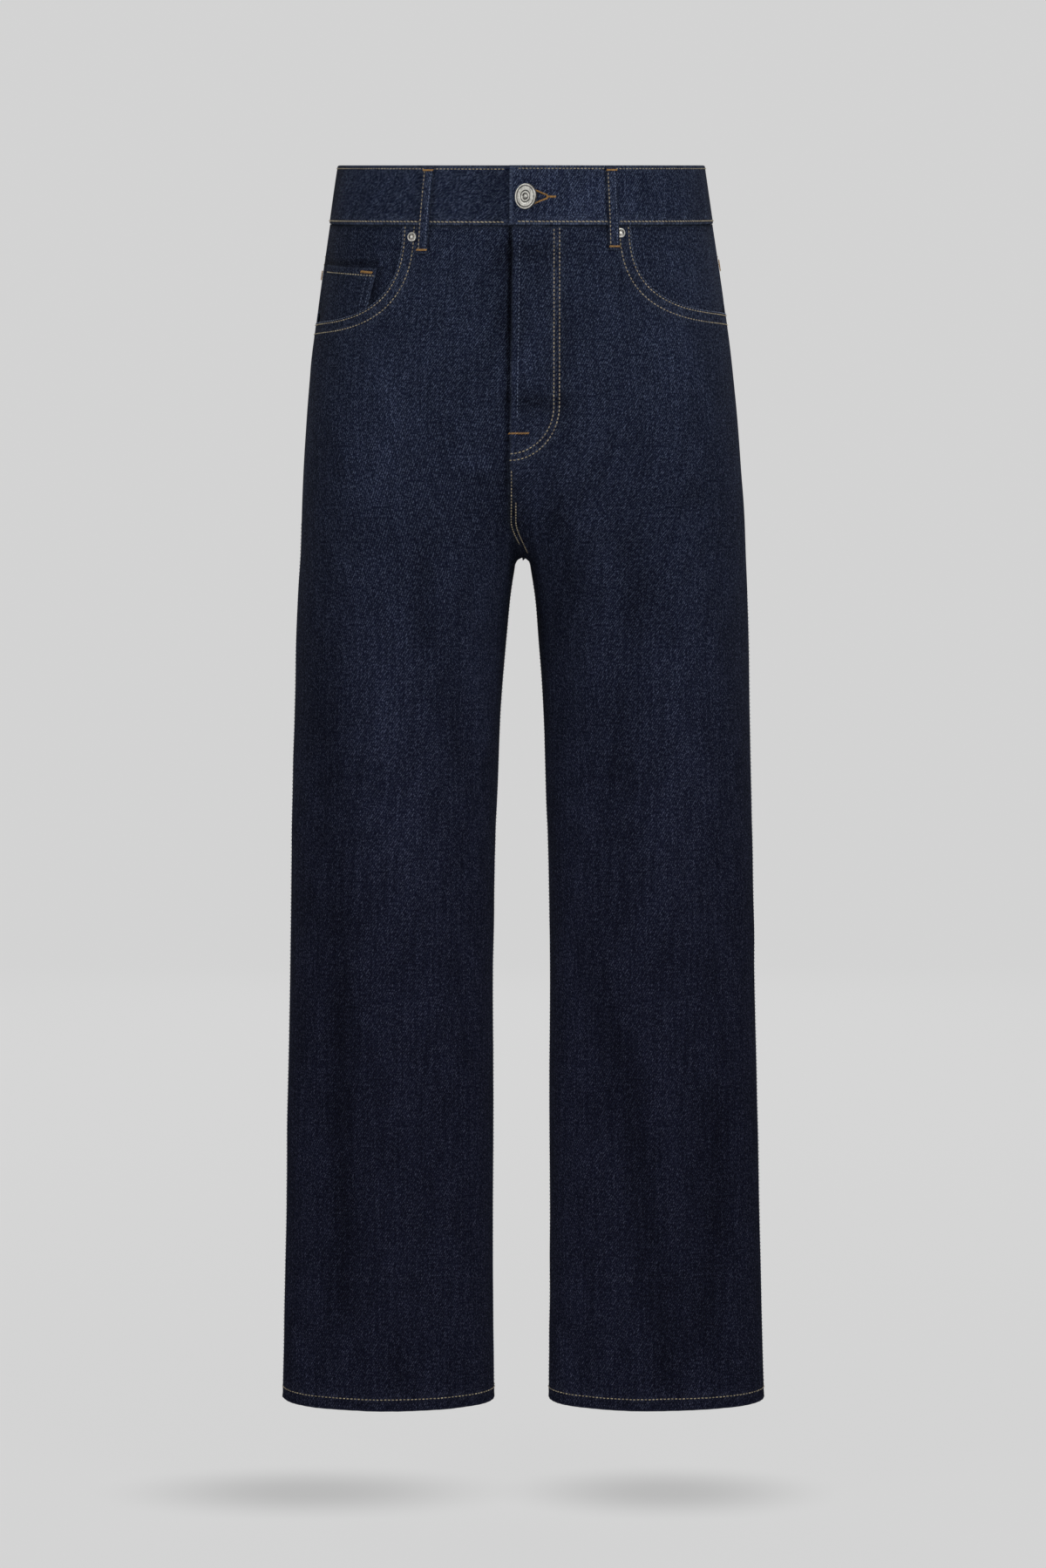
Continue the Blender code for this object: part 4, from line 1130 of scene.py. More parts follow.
def fly_outline(stitch_x, bottom_z):
    """The fly's J: straight down from the waistband, then a quarter of an ellipse to the seam."""
    top = TOP_Z - WAISTBAND_HEIGHT - FLY_STITCH_STARTS
    straight = np.linspace(top, FLY_CURVE_TOP_Z, 30)
    angle = np.linspace(0, math.pi / 2, 40)
    curve_x = FLY_CURVE_CENTRE_X + (stitch_x - FLY_CURVE_CENTRE_X) * np.cos(angle)
    curve_z = FLY_CURVE_TOP_Z + (bottom_z - FLY_CURVE_TOP_Z) * np.sin(angle)
    xs = np.concatenate([np.full(30, stitch_x), curve_x[1:]])
    return xs + FLY_STITCH_SHIFT, np.concatenate([straight, curve_z[1:]])


def seam_turns(side, drops, away):
    """The turns of places on the front at a distance from the front seam."""
    return turns_at_x(side, "front", seam_x(drops) + away, drops)


def fly_seam_line(away, first, last, count):
    """A line down the front seam on the wearer's left, at a distance from it."""
    drops = np.linspace(first, last, count)
    return line_on(1, "front", seam_turns(1, drops, away), drops)


def hem_line(side, face):
    return line_on(side, face, np.linspace(0.01, 0.99, 40), np.full(40, OUTSEAM - HEM_STITCH))


def beside_seam(side, face, turn, away, first, last):
    """A line down a leg at a distance from its inseam (turn 0) or side seam (turn 1)."""
    drops = np.linspace(first, last, 120)
    inward = TURN_PROBE if turn == 0 else -TURN_PROBE
    near = body_point(side, face, turn, drops)
    far = body_point(side, face, turn + inward, drops)
    reach = np.linalg.norm(far - near, axis=1) / abs(inward)
    turns = turn + np.sign(inward) * away / reach
    return line_on(side, face, turns, drops)


def front_lines(side):
    lines = [line_on(side, "front", *mouth_path(side, offset)) for offset in MOUTH_STITCHES]
    if side > 0:
        for stitch_x, bottom_z in FLY_STITCHES:
            lines.append(view_line(1, "front", *fly_outline(stitch_x, bottom_z)))
        lines += [fly_seam_line(*row, 40) for row in RISE_STITCHES]
    return lines


def faint_front_lines(side):
    """Lines in thread of the cloth's own colour."""
    last = OUTSEAM - HEM_STITCH - 0.004
    lines = [beside_seam(side, "front", turn, away, first, last) for turn, away, first in LEG_STITCHES]
    lines.append(line_on(side, "front", *mouth_path(side, MOUTH_EDGE_STITCH)))
    if side > 0:
        lines.append(fly_seam_line(FLY_EDGE_STITCH, WAISTBAND_HEIGHT + 0.004, FLY_BOTTOM - 0.030, 60))
    return lines


def yoke_drop(turn):
    return YOKE_CENTRE_DROP + (YOKE_SIDE_DROP - YOKE_CENTRE_DROP) * np.clip(turn, 0, 1)


def yoke_lines(side):
    turns = np.linspace(0.01, 0.995, 60)
    return [line_on(side, "back", turns, yoke_drop(turns) - away) for away in FELL_STITCHES]


def seat_lines():
    """Two lines down the seat seam, both on the wearer's left."""
    lines = []
    drops = rise_drops(YOKE_CENTRE_DROP + 0.002, BACK_RISE_CURVES_AT)
    drops = drops[drops < CROTCH_DROP - 0.001]
    for away in FELL_STITCHES:
        turns = turns_at_x(1, "back", np.full(len(drops), away), drops)
        lines.append(line_on(1, "back", turns, drops))
    return lines


def pocket_places(side, rows, columns, inset=0.0):
    """Turns and drops of the patch pocket, with straight sides and a shallow point."""
    middle = BACK_POCKET_TOP + BACK_POCKET_HEIGHT / 2
    near = np.array([BACK_POCKET_TURN - POCKET_PROBE, BACK_POCKET_TURN + POCKET_PROBE])
    ends = body_point(side, "back", near, middle)
    scale = np.linalg.norm(ends[1] - ends[0]) / (2 * POCKET_PROBE)
    down = np.asarray(rows, float)[:, None]
    across = np.asarray(columns, float)[None, :]
    half = BACK_POCKET_TOP_HALF + (BACK_POCKET_BOTTOM_HALF - BACK_POCKET_TOP_HALF) * down - inset
    sideways = across * half
    height = BACK_POCKET_HEIGHT - BACK_POCKET_POINT * np.abs(across) - inset
    drops = BACK_POCKET_TOP + down * height - BACK_POCKET_LEAN * sideways
    return BACK_POCKET_TURN + sideways / scale, drops


# ----------------------------------------------------------------------
# Waistband and loops
# ----------------------------------------------------------------------


def band_places(places, drops):
    """Points and normals round the waist; a place runs 0 to 4 past the wearer's left from the front."""
    places, drops = np.broadcast_arrays(np.asarray(places, float), np.asarray(drops, float))
    points = np.zeros(places.shape + (3,))
    normals = np.zeros_like(points)
    quarter = np.mod(places, 4)
    for row in QUARTERS:
        inside = (quarter >= row.first) & (quarter < row.first + 1)
        turn = row.way * quarter[inside] + row.shift
        points[inside], normals[inside] = plain_form(row.side, row.face, turn, drops[inside])
    return points, normals


def band_surface(places, drops, rise=0.0):
    """The waistband's outer face, its left end lifted over its right end."""
    points, normals = band_places(places, drops)
    lift = BAND_TOP_LIFT * (1 - smoothstep((places - BAND_END_TURN) / BAND_TOP_LIFT_TURN))
    sink = BAND_UNDER_SINK * smoothstep((places - BAND_UNDER_SINK_FROM) / BAND_UNDER_SINK_TURN)
    ripple = BAND_RIPPLE * np.sin(places * BAND_RIPPLES + 1.0) * np.sin(drops / WAISTBAND_HEIGHT * math.pi)
    proud = WAISTBAND_PROUD + lift - sink + ripple + rise
    return points + normals * proud[..., None], normals


def band_line(drop):
    """A line of stitches round the waist, from just inside the band's left end."""
    places = np.linspace(BAND_END_TURN + 0.02, 4 + BAND_END_TURN - 0.012, 900)
    return Line(*band_surface(places, drop, THREAD_RISE))


def loop_surface(loop, along, sideways, rise=0.0):
    """Outer face of a belt loop; along runs 0 to 1 down it, sideways is in metres."""
    drop = LOOP_TOP + loop.length * along
    x = loop.side * (loop.x + loop.lean * along)
    turn = turns_at_x(loop.side, loop.face, x, drop)
    near = body_point(loop.side, loop.face, turn - TURN_PROBE, drop)
    far = body_point(loop.side, loop.face, turn + TURN_PROBE, drop)
    scale = np.linalg.norm(far - near, axis=1) / (2 * TURN_PROBE)
    turn = turn[:, None] + sideways[None, :] / scale[:, None]
    level = np.repeat(drop[:, None], len(sideways), axis=1)
    points, normals = plain_form(loop.side, loop.face, turn, level)
    normals = np.repeat(unit(normals.mean(axis=1, keepdims=True)), len(sideways), axis=1)
    over_band = LOOP_PROUD * np.maximum(np.sin(along * math.pi), 0.0) ** 0.5
    off_band = smoothstep((along - LOOP_OFF_BAND_AT) / LOOP_OFF_BAND_OVER)
    rest = SEAM_GAP + WAISTBAND_PROUD * (1 - off_band) + over_band + LOOP_WALL
    if loop.side > 0 and loop.face == "front":
        rest = rest + LOOP_LEFT_EXTRA
    bulge = LOOP_BULGE * np.cos(sideways / (LOOP_WIDTH / 2) * math.pi / 2)
    groove = -LOOP_GROOVE * sum(bell(sideways - row, LOOP_GROOVE_WIDTH) for row in LOOP_STITCHES)
    total = rest[:, None] + (bulge + groove)[None, :] + rise
    return points + normals * total[..., None], normals


# ----------------------------------------------------------------------
# Threads
# ----------------------------------------------------------------------

Threads = namedtuple("Threads", "starts ends normals widths heights")
THREAD_SIDES = 6
THREAD_FLATNESS = 0.36
# Stations along a stitch: share of its length, of its height and of its thickness
THREAD_STATIONS = (
    (0.0, -0.35, 0.45),
    (0.16, 0.55, 0.92),
    (0.5, 1.0, 1.0),
    (0.84, 0.55, 0.92),
    (1.0, -0.35, 0.45),
)
STITCH_HEIGHT = 0.00030
CHAIN_STITCH = 0.0023
CHAIN_STEP = 0.0031
CHAIN_SLANT = 0.00030
FAINT_THREAD_WIDTH = 0.0005
# Length and step of the faint stitches on the panels, the coin pocket and the loops
FAINT_STITCHES = ((0.0014, 0.0014, 0.0013), (0.0030, 0.0026, 0.0024))
TACK_HEIGHT = 0.00055
TACK_THREADS = 17
TACK_THREAD_WIDTH = 0.00055
LOOP_TACKS_AT = (0.045, 0.955)
LOOP_TACK_WIDTH = 0.0015
# Tacks at the fly's end and at the coin pocket's corner, placed in the front view
TackRow = namedtuple("TackRow", "side x z along length width rise")
FRONT_TACKS = (
    TackRow(1, -0.0020, -0.1912, (1, 0, 0.01), 0.0150, 0.0014, 0.0),
    TackRow(-1, -0.1213, -0.0657, (1, 0, -0.16), 0.0115, 0.0021, -0.0016),
)
# Upright tacks in front of the side seams: side, z and length
SIDE_TACKS = ((-1, -0.0640, 0.0070), (1, -0.0560, 0.0085))
SIDE_TACK_TURN = 0.970
SIDE_TACK_WIDTH = 0.0015
POCKET_TACKS_AT = (-0.985, 0.985)
POCKET_TACK = (0.0080, 0.0016)


def stitches_along(line, stitch, step, width, slant=0.0):
    """Separate stitches at even steps along a line."""
    run = runs(line.points[None])[0]
    count = max(int((run[-1] - stitch) / step) + 1, 1)
    first = (run[-1] - (count - 1) * step - stitch) / 2 + np.arange(count) * step

    def read(where, values):
        return np.stack([np.interp(where, run, values[:, k]) for k in range(3)], -1)

    starts = read(first, line.points)
    ends = read(first + stitch, line.points)
    normals = unit(read(first + stitch / 2, line.normals))
    if slant:
        aside = unit(np.cross(ends - starts, normals)) * slant
        starts = starts - aside
        ends = ends + aside
    return even_threads(starts, ends, normals, width, STITCH_HEIGHT)


def even_threads(starts, ends, normals, width, height):
    count = len(starts)
    return Threads(starts, ends, normals, np.full(count, width), np.full(count, height))


def tack(centre, along, normal, length, width):
    """A bar tack: close threads laid across a short bar."""
    along = unit(along - normal * np.dot(along, normal))
    across = np.cross(normal, along)
    order = np.arange(TACK_THREADS)
    places = (order / (TACK_THREADS - 1) - 0.5) * length
    wobble = np.sin(order * 2.4) * width * 0.08
    middle = centre + places[:, None] * along + normal * THREAD_RISE * 3
    lean = along * length / TACK_THREADS * 0.7
    starts = middle - across * (width / 2 + wobble)[:, None] - lean
    ends = middle + across * (width / 2 - wobble)[:, None] + lean
    normals = np.repeat(normal[None, :], TACK_THREADS, axis=0)
    return even_threads(starts, ends, normals, TACK_THREAD_WIDTH, TACK_HEIGHT)


def thread_object(name, parts, material):
    """One mesh of all the stitches in a group, each a short arched thread that dips at its ends."""
    threads = Threads(*[np.concatenate(values) for values in zip(*parts)])
    count = len(threads.starts)
    run = threads.ends - threads.starts
    aside = unit(np.cross(run, threads.normals))
    rings = []
    for share, rise, thick in THREAD_STATIONS:
        centre = threads.starts + run * share + threads.normals * (threads.heights * rise)[:, None]
        for k in range(THREAD_SIDES):
            angle = 2 * math.pi * k / THREAD_SIDES
            wide = aside * (threads.widths / 2 * thick * math.cos(angle))[:, None]
            tall = threads.normals * (threads.widths * THREAD_FLATNESS * thick * math.sin(angle))[:, None]
            rings.append(centre + wide + tall)
    points = np.stack(rings, axis=1).reshape(-1, 3)
    sides = THREAD_SIDES
    per = sides * len(THREAD_STATIONS)
    template = []
    for ring in range(len(THREAD_STATIONS) - 1):
        for k in range(sides):
            a = ring * sides + k
            b = ring * sides + (k + 1) % sides
            template.append((a, b, b + sides, a + sides))
    template = np.array(template)
    quads = (template[None] + (np.arange(count) * per)[:, None, None]).reshape(-1, 4).tolist()
    first = np.arange(sides)[::-1]
    last = np.arange(sides) + per - sides
    caps = (np.stack([first, last])[None] + (np.arange(count) * per)[:, None, None]).reshape(-1, sides)
    made = new_object(name, points, quads + caps.tolist(), finishes(material))
    rng = np.random.default_rng(11)
    set_point_value(made, "shade", np.repeat(rng.random(count), per))
    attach(made, "root")


# ----------------------------------------------------------------------
# Materials
# ----------------------------------------------------------------------

WARP_PITCH = 0.00048
WEFT_PITCH = 0.00080
TWILL_REPEAT = 4
# The cloth is darker, with less weft showing, towards the hem: from this drop to that one
DARKENING_FROM = -0.05
DARKENING_TO = 0.75
DEEP_WEFT_SHARE = 0.60
UNTINTED = (1.0, 1.0, 1.0)
# The waistband is a little paler than the legs; on the reverse the warp is what shows least
BAND_PALER = 1.20
BAND_MORE_WEFT = 1.10
REVERSE_WARP_SHARE = 0.80
FAINT_THREAD_PALER = 2.2
CHAIN_PALER = 1.10


class Net:
    """Adds nodes to a tree and links what is given as a socket."""

    def __init__(self, tree):
        self.tree = tree

    def add(self, kind, inputs=None, **options):
        node = self.tree.nodes.new(kind)
        for name, value in options.items():
            setattr(node, name, value)
        for name, value in (inputs or {}).items():
            self.put(node.inputs[name], value)
        return node

    def put(self, socket, value):
        if isinstance(value, bpy.types.NodeSocket):
            self.tree.links.new(value, socket)
        else:
            socket.default_value = value

    def math(self, operation, *values, clamp=False):
        node = self.add("ShaderNodeMath", operation=operation, use_clamp=clamp)
        for k, value in enumerate(values):
            self.put(node.inputs[k], value)
        return node.outputs[0]

    def span(self, value, low, high, to_low=0.0, to_high=1.0):
        node = self.add("ShaderNodeMapRange", interpolation_type="SMOOTHSTEP")
        names = ("Value", "From Min", "From Max", "To Min", "To Max")
        for name, here in zip(names, (value, low, high, to_low, to_high)):
            self.put(node.inputs[name], here)
        return node.outputs["Result"]

    def mix(self, share, first, second):
        node = self.add("ShaderNodeMix", data_type="RGBA")
        self.put(node.inputs["Factor"], share)
        self.put(node.inputs[6], first)
        self.put(node.inputs[7], second)
        return node.outputs[2]

    def noise(self, vector, scale, detail=2.0, roughness=0.5):
        """Noise with a size of its own along each axis."""
        place = self.add("ShaderNodeMapping", {"Vector": vector, "Scale": scale}).outputs["Vector"]
        given = {"Vector": place, "Scale": 1.0, "Detail": detail, "Roughness": roughness}
        return self.add("ShaderNodeTexNoise", given).outputs["Fac"]

    def scaled(self, vector, scale):
        node = self.add("ShaderNodeVectorMath", {"Vector": vector}, operation="SCALE")
        self.put(node.inputs["Scale"], scale)
        return node.outputs["Vector"]

    def length(self, first, second):
        """The length of a flat vector with these two parts."""
        squares = [self.math("MULTIPLY", part, part) for part in (first, second)]
        return self.math("SQRT", self.math("ADD", *squares))


def group_sockets(group, inputs, outputs):
    for name, kind in inputs:
        group.interface.new_socket(name, in_out="INPUT", socket_type=kind)
    for name, kind in outputs:
        group.interface.new_socket(name, in_out="OUTPUT", socket_type=kind)


def twill_group():
    """A three-up-one-down twill: round warp yarns, pale weft where it crosses over, slubs and flecks."""
    group = bpy.data.node_groups.new("twill", "ShaderNodeTree")
    group_sockets(
        group,
        (
            ("Vector", "NodeSocketVector"),
            ("Warp", "NodeSocketColor"),
            ("Weft", "NodeSocketColor"),
            ("Weft share", "NodeSocketFloat"),
            ("Wear", "NodeSocketFloat"),
            ("Deep tint", "NodeSocketColor"),
            ("Tone", "NodeSocketFloat"),
        ),
        (("Color", "NodeSocketColor"), ("Height", "NodeSocketFloat")),
    )
    net = Net(group)
    given = net.add("NodeGroupInput")
    out = net.add("NodeGroupOutput")
    place = given.outputs["Vector"]
    drift = net.noise(place, (90, 60, 1), 1.0)
    split = net.add("ShaderNodeSeparateXYZ", {"Vector": place})
    warp_at = net.math("MULTIPLY_ADD", drift, 1.6, net.math("DIVIDE", split.outputs["X"], WARP_PITCH))
    weft_at = net.math("MULTIPLY_ADD", drift, -1.2, net.math("DIVIDE", split.outputs["Y"], WEFT_PITCH))
    warp = net.math("FLOOR", warp_at)
    weft = net.math("FLOOR", weft_at)
    order = net.math("FLOORED_MODULO", net.math("SUBTRACT", warp, weft), TWILL_REPEAT)
    crossing = net.math("LESS_THAN", order, 0.5)
    beside = net.math("GREATER_THAN", order, TWILL_REPEAT - 1.5)
    cell = net.add("ShaderNodeCombineXYZ", {"X": warp, "Y": weft})
    chance = net.add("ShaderNodeTexWhiteNoise", {"Vector": cell.outputs["Vector"]}, noise_dimensions="2D")
    chance = chance.outputs["Value"]
    cluster = net.noise(place, (640, 480, 1), 3.0, 0.85)
    cluster = net.span(cluster, 0.40, 0.64)
    patch = net.noise(place, (230, 150, 1), 3.0, 0.7)
    patch = net.span(patch, 0.34, 0.68)
    slub = net.noise(place, (430, 15, 1), 3.0, 0.7)
    slub = net.span(slub, 0.34, 0.66)
    mottle = net.noise(place, (45, 26, 1), 3.0, 0.55)
    over = net.math("MULTIPLY_ADD", net.math("POWER", chance, 1.5), 0.55, 0.22)
    over = net.math("MULTIPLY", over, net.span(cluster, 0.0, 1.0, 0.05, 2.7))
    fuzz = net.math("MULTIPLY", net.math("POWER", chance, 4.0), net.math("MULTIPLY_ADD", cluster, 0.50, 0.02))
    half = net.math("MULTIPLY", beside, net.math("MULTIPLY", cluster, 0.20))
    share = net.math("MULTIPLY", crossing, over)
    share = net.math("ADD", share, net.math("ADD", fuzz, half))
    share = net.math("MULTIPLY", share, net.span(slub, 0.0, 1.0, 0.74, 1.26))
    share = net.math("MULTIPLY", share, net.span(patch, 0.0, 1.0, 0.60, 1.40))
    # Darker towards the hem, with less of the weft showing
    down = net.math("MULTIPLY", split.outputs["Y"], -1.0)
    deep = net.span(down, DARKENING_FROM, DARKENING_TO)
    share = net.math("MULTIPLY", share, net.math("MULTIPLY_ADD", deep, DEEP_WEFT_SHARE - 1.0, 1.0))
    # Worn seams and the painted edge highlight show more of the pale weft
    share = net.math("ADD", share, net.math("MULTIPLY", given.outputs["Wear"], 0.30))
    share = net.math("MULTIPLY", share, given.outputs["Weft share"], clamp=True)
    color = net.mix(share, given.outputs["Warp"], given.outputs["Weft"])
    shade = net.math("MULTIPLY", net.span(mottle, 0.3, 0.7, 0.88, 1.12), net.span(slub, 0.0, 1.0, 0.91, 1.09))
    shade = net.math("MULTIPLY", shade, net.span(cluster, 0.0, 1.0, 0.66, 1.28))
    # Tone carries the painted shade and light of the folds, seams and edges
    shade = net.math("MULTIPLY", shade, given.outputs["Tone"])
    tint = net.mix(deep, (1.0, 1.0, 1.0, 1.0), given.outputs["Deep tint"])
    tinted = net.add("ShaderNodeVectorMath", {0: color, 1: tint}, operation="MULTIPLY")
    dim = net.scaled(tinted.outputs["Vector"], shade)
    beyond = net.math("SUBTRACT", net.math("FRACT", warp_at), 0.5)
    round_warp = net.math("MULTIPLY_ADD", net.math("MULTIPLY", beyond, beyond), -2.4, 1.0)
    height = net.math("MULTIPLY", round_warp, net.math("MULTIPLY_ADD", crossing, -0.45, 1.0))
    height = net.math("ADD", height, net.math("MULTIPLY", cluster, 0.5))
    height = net.math("MULTIPLY_ADD", slub, 0.4, height)
    net.put(out.inputs["Color"], dim)
    net.put(out.inputs["Height"], height)
    return group


def value_of(net, name):
    return net.add("ShaderNodeAttribute", attribute_name=name).outputs["Fac"]


def new_material(name, **fixed):
    """A material whose shader has fixed values on some of its sockets."""
    made = bpy.data.materials.new(name)
    made.use_nodes = True
    made.node_tree.nodes.clear()
    net = Net(made.node_tree)
    shader = net.add("ShaderNodeBsdfPrincipled")
    net.add("ShaderNodeOutputMaterial", {"Surface": shader.outputs["BSDF"]})
    for socket, value in fixed.items():
        shader.inputs[socket.replace("_", " ")].default_value = value
    return net, shader


def bump(net, height, strength, distance, **normal):
    given = {"Height": height, "Strength": strength, "Distance": distance, **normal}
    return net.add("ShaderNodeBump", given).outputs["Normal"]


def denim_material(name, warp, weft, weft_share, deep_tint, twill):
    net, shader = new_material(
        name,
        Roughness=0.95,
        Specular_IOR_Level=0.06,
        Sheen_Weight=0.012,
        Sheen_Roughness=0.5,
        Sheen_Tint=(0.55, 0.62, 0.80, 1.0),
    )
    place = net.add("ShaderNodeUVMap", uv_map="weave").outputs["UV"]
    # Paler along the puckered seams, which is wear, and along every rounded edge, which is wear and a painted
    # highlight
    near = value_of(net, "near_seam")
    rim = net.math("POWER", value_of(net, "rim"), 1.7)
    pucker = net.noise(place, (190, 190, 1), 2.0, 0.5)
    raised = net.math("MULTIPLY", near, net.span(pucker, 0.35, 0.75))
    wear_and_edge_highlight = net.math("ADD", net.math("MULTIPLY", raised, 0.75), net.math("MULTIPLY", rim, 0.85))
    group = net.add("ShaderNodeGroup", node_tree=twill)
    for socket, value in (
        ("Vector", place),
        ("Warp", (*warp, 1.0)),
        ("Weft", (*weft, 1.0)),
        ("Weft share", weft_share),
        ("Wear", wear_and_edge_highlight),
        ("Deep tint", (*deep_tint, 1.0)),
        ("Tone", value_of(net, "tone")),
    ):
        net.put(group.inputs[socket], value)
    net.put(shader.inputs["Base Color"], group.outputs["Color"])
    fine = bump(net, group.outputs["Height"], 0.6, 0.00025)
    net.put(shader.inputs["Normal"], bump(net, net.math("MULTIPLY", near, pucker), 1.0, 0.0016, Normal=fine))


def thread_material(name, color, spread):
    """Twisted thread: each stitch a little lighter or darker, with dark between its plies."""
    net, shader = new_material(name, Roughness=0.62, Sheen_Weight=0.2)
    shade = value_of(net, "shade")
    place = net.add("ShaderNodeTexCoord").outputs["Object"]
    plies = net.noise(place, (2600, 2600, 2600), 2.0, 0.6)
    dark = tuple(c * (1 - spread) for c in color)
    light = tuple(min(c * (1 + spread), 1.0) for c in color)
    tone = net.mix(shade, (*dark, 1.0), (*light, 1.0))
    net.put(shader.inputs["Base Color"], net.scaled(tone, net.span(plies, 0.3, 0.7, 0.55, 1.15)))
    net.put(shader.inputs["Normal"], bump(net, plies, 0.6, 0.0002))


def metal_material(name, color, tarnish):
    """Silver metal, darker in its stains and hollows."""
    net, shader = new_material(name, Metallic=0.70)
    place = net.add("ShaderNodeTexCoord").outputs["Object"]
    stains = net.noise(place, (420, 420, 420), 4.0, 0.6)
    grain = net.noise(place, (2400, 2400, 2400), 2.0, 0.6)
    hollow = value_of(net, "hollow")
    stained = net.span(stains, 0.42, 0.72, 0.0, 0.35)
    old = net.math("ADD", stained, net.math("MULTIPLY", hollow, 0.8), clamp=True)
    net.put(shader.inputs["Base Color"], net.mix(old, (*color, 1.0), (*tarnish, 1.0)))
    net.put(shader.inputs["Roughness"], net.span(stains, 0.3, 0.7, 0.26, 0.46))
    net.put(shader.inputs["Normal"], bump(net, grain, 0.25, 0.0001))


def backdrop_material(stage):
    """A pale matte surface that glows, with a soft pool of shade on the floor under each leg."""
    net, shader = new_material("backdrop", Roughness=1.0, Specular_IOR_Level=0.0, Emission_Strength=1.0)
    place = net.add("ShaderNodeTexCoord").outputs["Object"]
    parts = net.add("ShaderNodeSeparateXYZ", {"Vector": place})
    across, back = parts.outputs["X"], parts.outputs["Y"]
    light = 1.0
    for row in POOLS:
        right = net.math("DIVIDE", net.math("SUBTRACT", across, row.x), row.half_wide)
        far = net.math("DIVIDE", net.math("SUBTRACT", back, row.y), row.half_deep)
        light = net.math("SUBTRACT", light, net.span(net.length(right, far), 0.08, 1.0, POOL_DEPTH, 0.0))
    away = net.length(across, back)
    glow = net.math("MULTIPLY", net.span(away, 0.4, 2.4, stage.floor_glow, stage.wall_glow), light)
    base = net.math("MULTIPLY", light, stage.backdrop)
    for socket, grey in (("Base Color", base), ("Emission Color", glow)):
        colour = net.add("ShaderNodeCombineColor", {"Red": grey, "Green": grey, "Blue": grey})
        net.put(shader.inputs[socket], colour.outputs["Color"])


class JEANS_OT_materials(bpy.types.Operator):
    """Makes the denim, thread and metal finishes"""

    bl_idname = "jeans.materials"
    bl_label = "Materials"

    def execute(self, context):
        cloth, sewing, trim, _ = settings()
        twill = twill_group()
        denim_material("rinsed_denim", cloth.indigo, cloth.fleck, cloth.weft_share, cloth.deep_tint, twill)
        band = [c * BAND_PALER for c in cloth.indigo]
        denim_material("denim_band", band, cloth.fleck, cloth.weft_share * BAND_MORE_WEFT, UNTINTED, twill)
        denim_material("denim_reverse", cloth.reverse, cloth.indigo, REVERSE_WARP_SHARE, UNTINTED, twill)
        thread_material("thread", sewing.thread, 0.35)
        thread_material("thread_dark", [c * FAINT_THREAD_PALER for c in cloth.fleck], 0.3)
        thread_material("thread_pale", [min(c * CHAIN_PALER, 1.0) for c in sewing.thread], 0.3)
        thread_material("thread_tack", sewing.tack, 0.30)
        metal_material("silver", trim.metal, trim.tarnish)
        return {"FINISHED"}


# ----------------------------------------------------------------------
# Pieces
# ----------------------------------------------------------------------


class JEANS_OT_fronts(bpy.types.Operator):
    """Builds the two front panels, the left one with the fly on it"""

    bl_idname = "jeans.fronts"
    bl_label = "Fronts"

    def execute(self, context):
        for side, name in ((-1, "front_right"), (1, "front_left")):
            inner_drops = rise_drops(WAISTBAND_HEIGHT, FRONT_RISE_CURVES_AT)
            ends = smoothstep((inner_drops - FLY_BOTTOM) / FLY_UNDERLAP_ENDS_OVER + 1)
            lap = FLY_UNDERLAP * (1 - ends) * (side < 0)
            above = inner_drops < CROTCH_DROP - 1e-6
            inner_turns = np.where(above, seam_turns(side, inner_drops, lap), 0.0)
            mouth_turns, mouth_drops = mouth_path(side)
            down = np.linspace(mouth_drops[-1], OUTSEAM, PATH_SAMPLES)[1:]
            outer_turns = np.concatenate([mouth_turns, np.ones(len(down))])
            outer_drops = np.concatenate([mouth_drops, down])
            patch = panel_patch(name, side, "front", (inner_turns, inner_drops), (outer_turns, outer_drops))
            make_panel(patch, front_lines(side) + [hem_line(side, "front")], panel_wall(patch.drops))
        return {"FINISHED"}


class JEANS_OT_backs(bpy.types.Operator):
    """Builds the two back panels and the two halves of the yoke"""

    bl_idname = "jeans.backs"
    bl_label = "Backs and yokes"

    def execute(self, context):
        for side, name in ((-1, "right"), (1, "left")):
            inner_drops = rise_drops(YOKE_CENTRE_DROP, BACK_RISE_CURVES_AT)
            outer_drops = np.linspace(YOKE_SIDE_DROP, OUTSEAM, PATH_SAMPLES)
            inner = (np.zeros(len(inner_drops)), inner_drops)
            outer = (np.ones(len(outer_drops)), outer_drops)
            patch = panel_patch("back_" + name, side, "back", inner, outer)
            top = patch.drops[0].copy()
            fade = 1 - smoothstep((patch.drops[:, :1] - top[None, :]) / YOKE_SLANT_FADES_OVER)
            straight = yoke_drop(patch.turns[0]) - top
            patch = patch._replace(drops=patch.drops + straight[None, :] * fade)
            across_yoke = yoke_lines(side)
            lines = [hem_line(side, "back"), *across_yoke]
            if side > 0:
                lines += seat_lines()
            make_panel(patch, lines, panel_wall(patch.drops))
            turns = np.linspace(0, 1, PANEL_COLUMNS)
            parts = np.linspace(0, 1, YOKE_ROWS)[:, None]
            drops = WAISTBAND_HEIGHT + (yoke_drop(turns)[None, :] - WAISTBAND_HEIGHT) * parts
            drops[-1] -= SEAM_GAP / 2
            turns = np.repeat(turns[None, :], YOKE_ROWS, axis=0)
            make_panel(Patch("yoke_" + name, side, "back", turns, drops), across_yoke, PANEL_WALL)
        return {"FINISHED"}


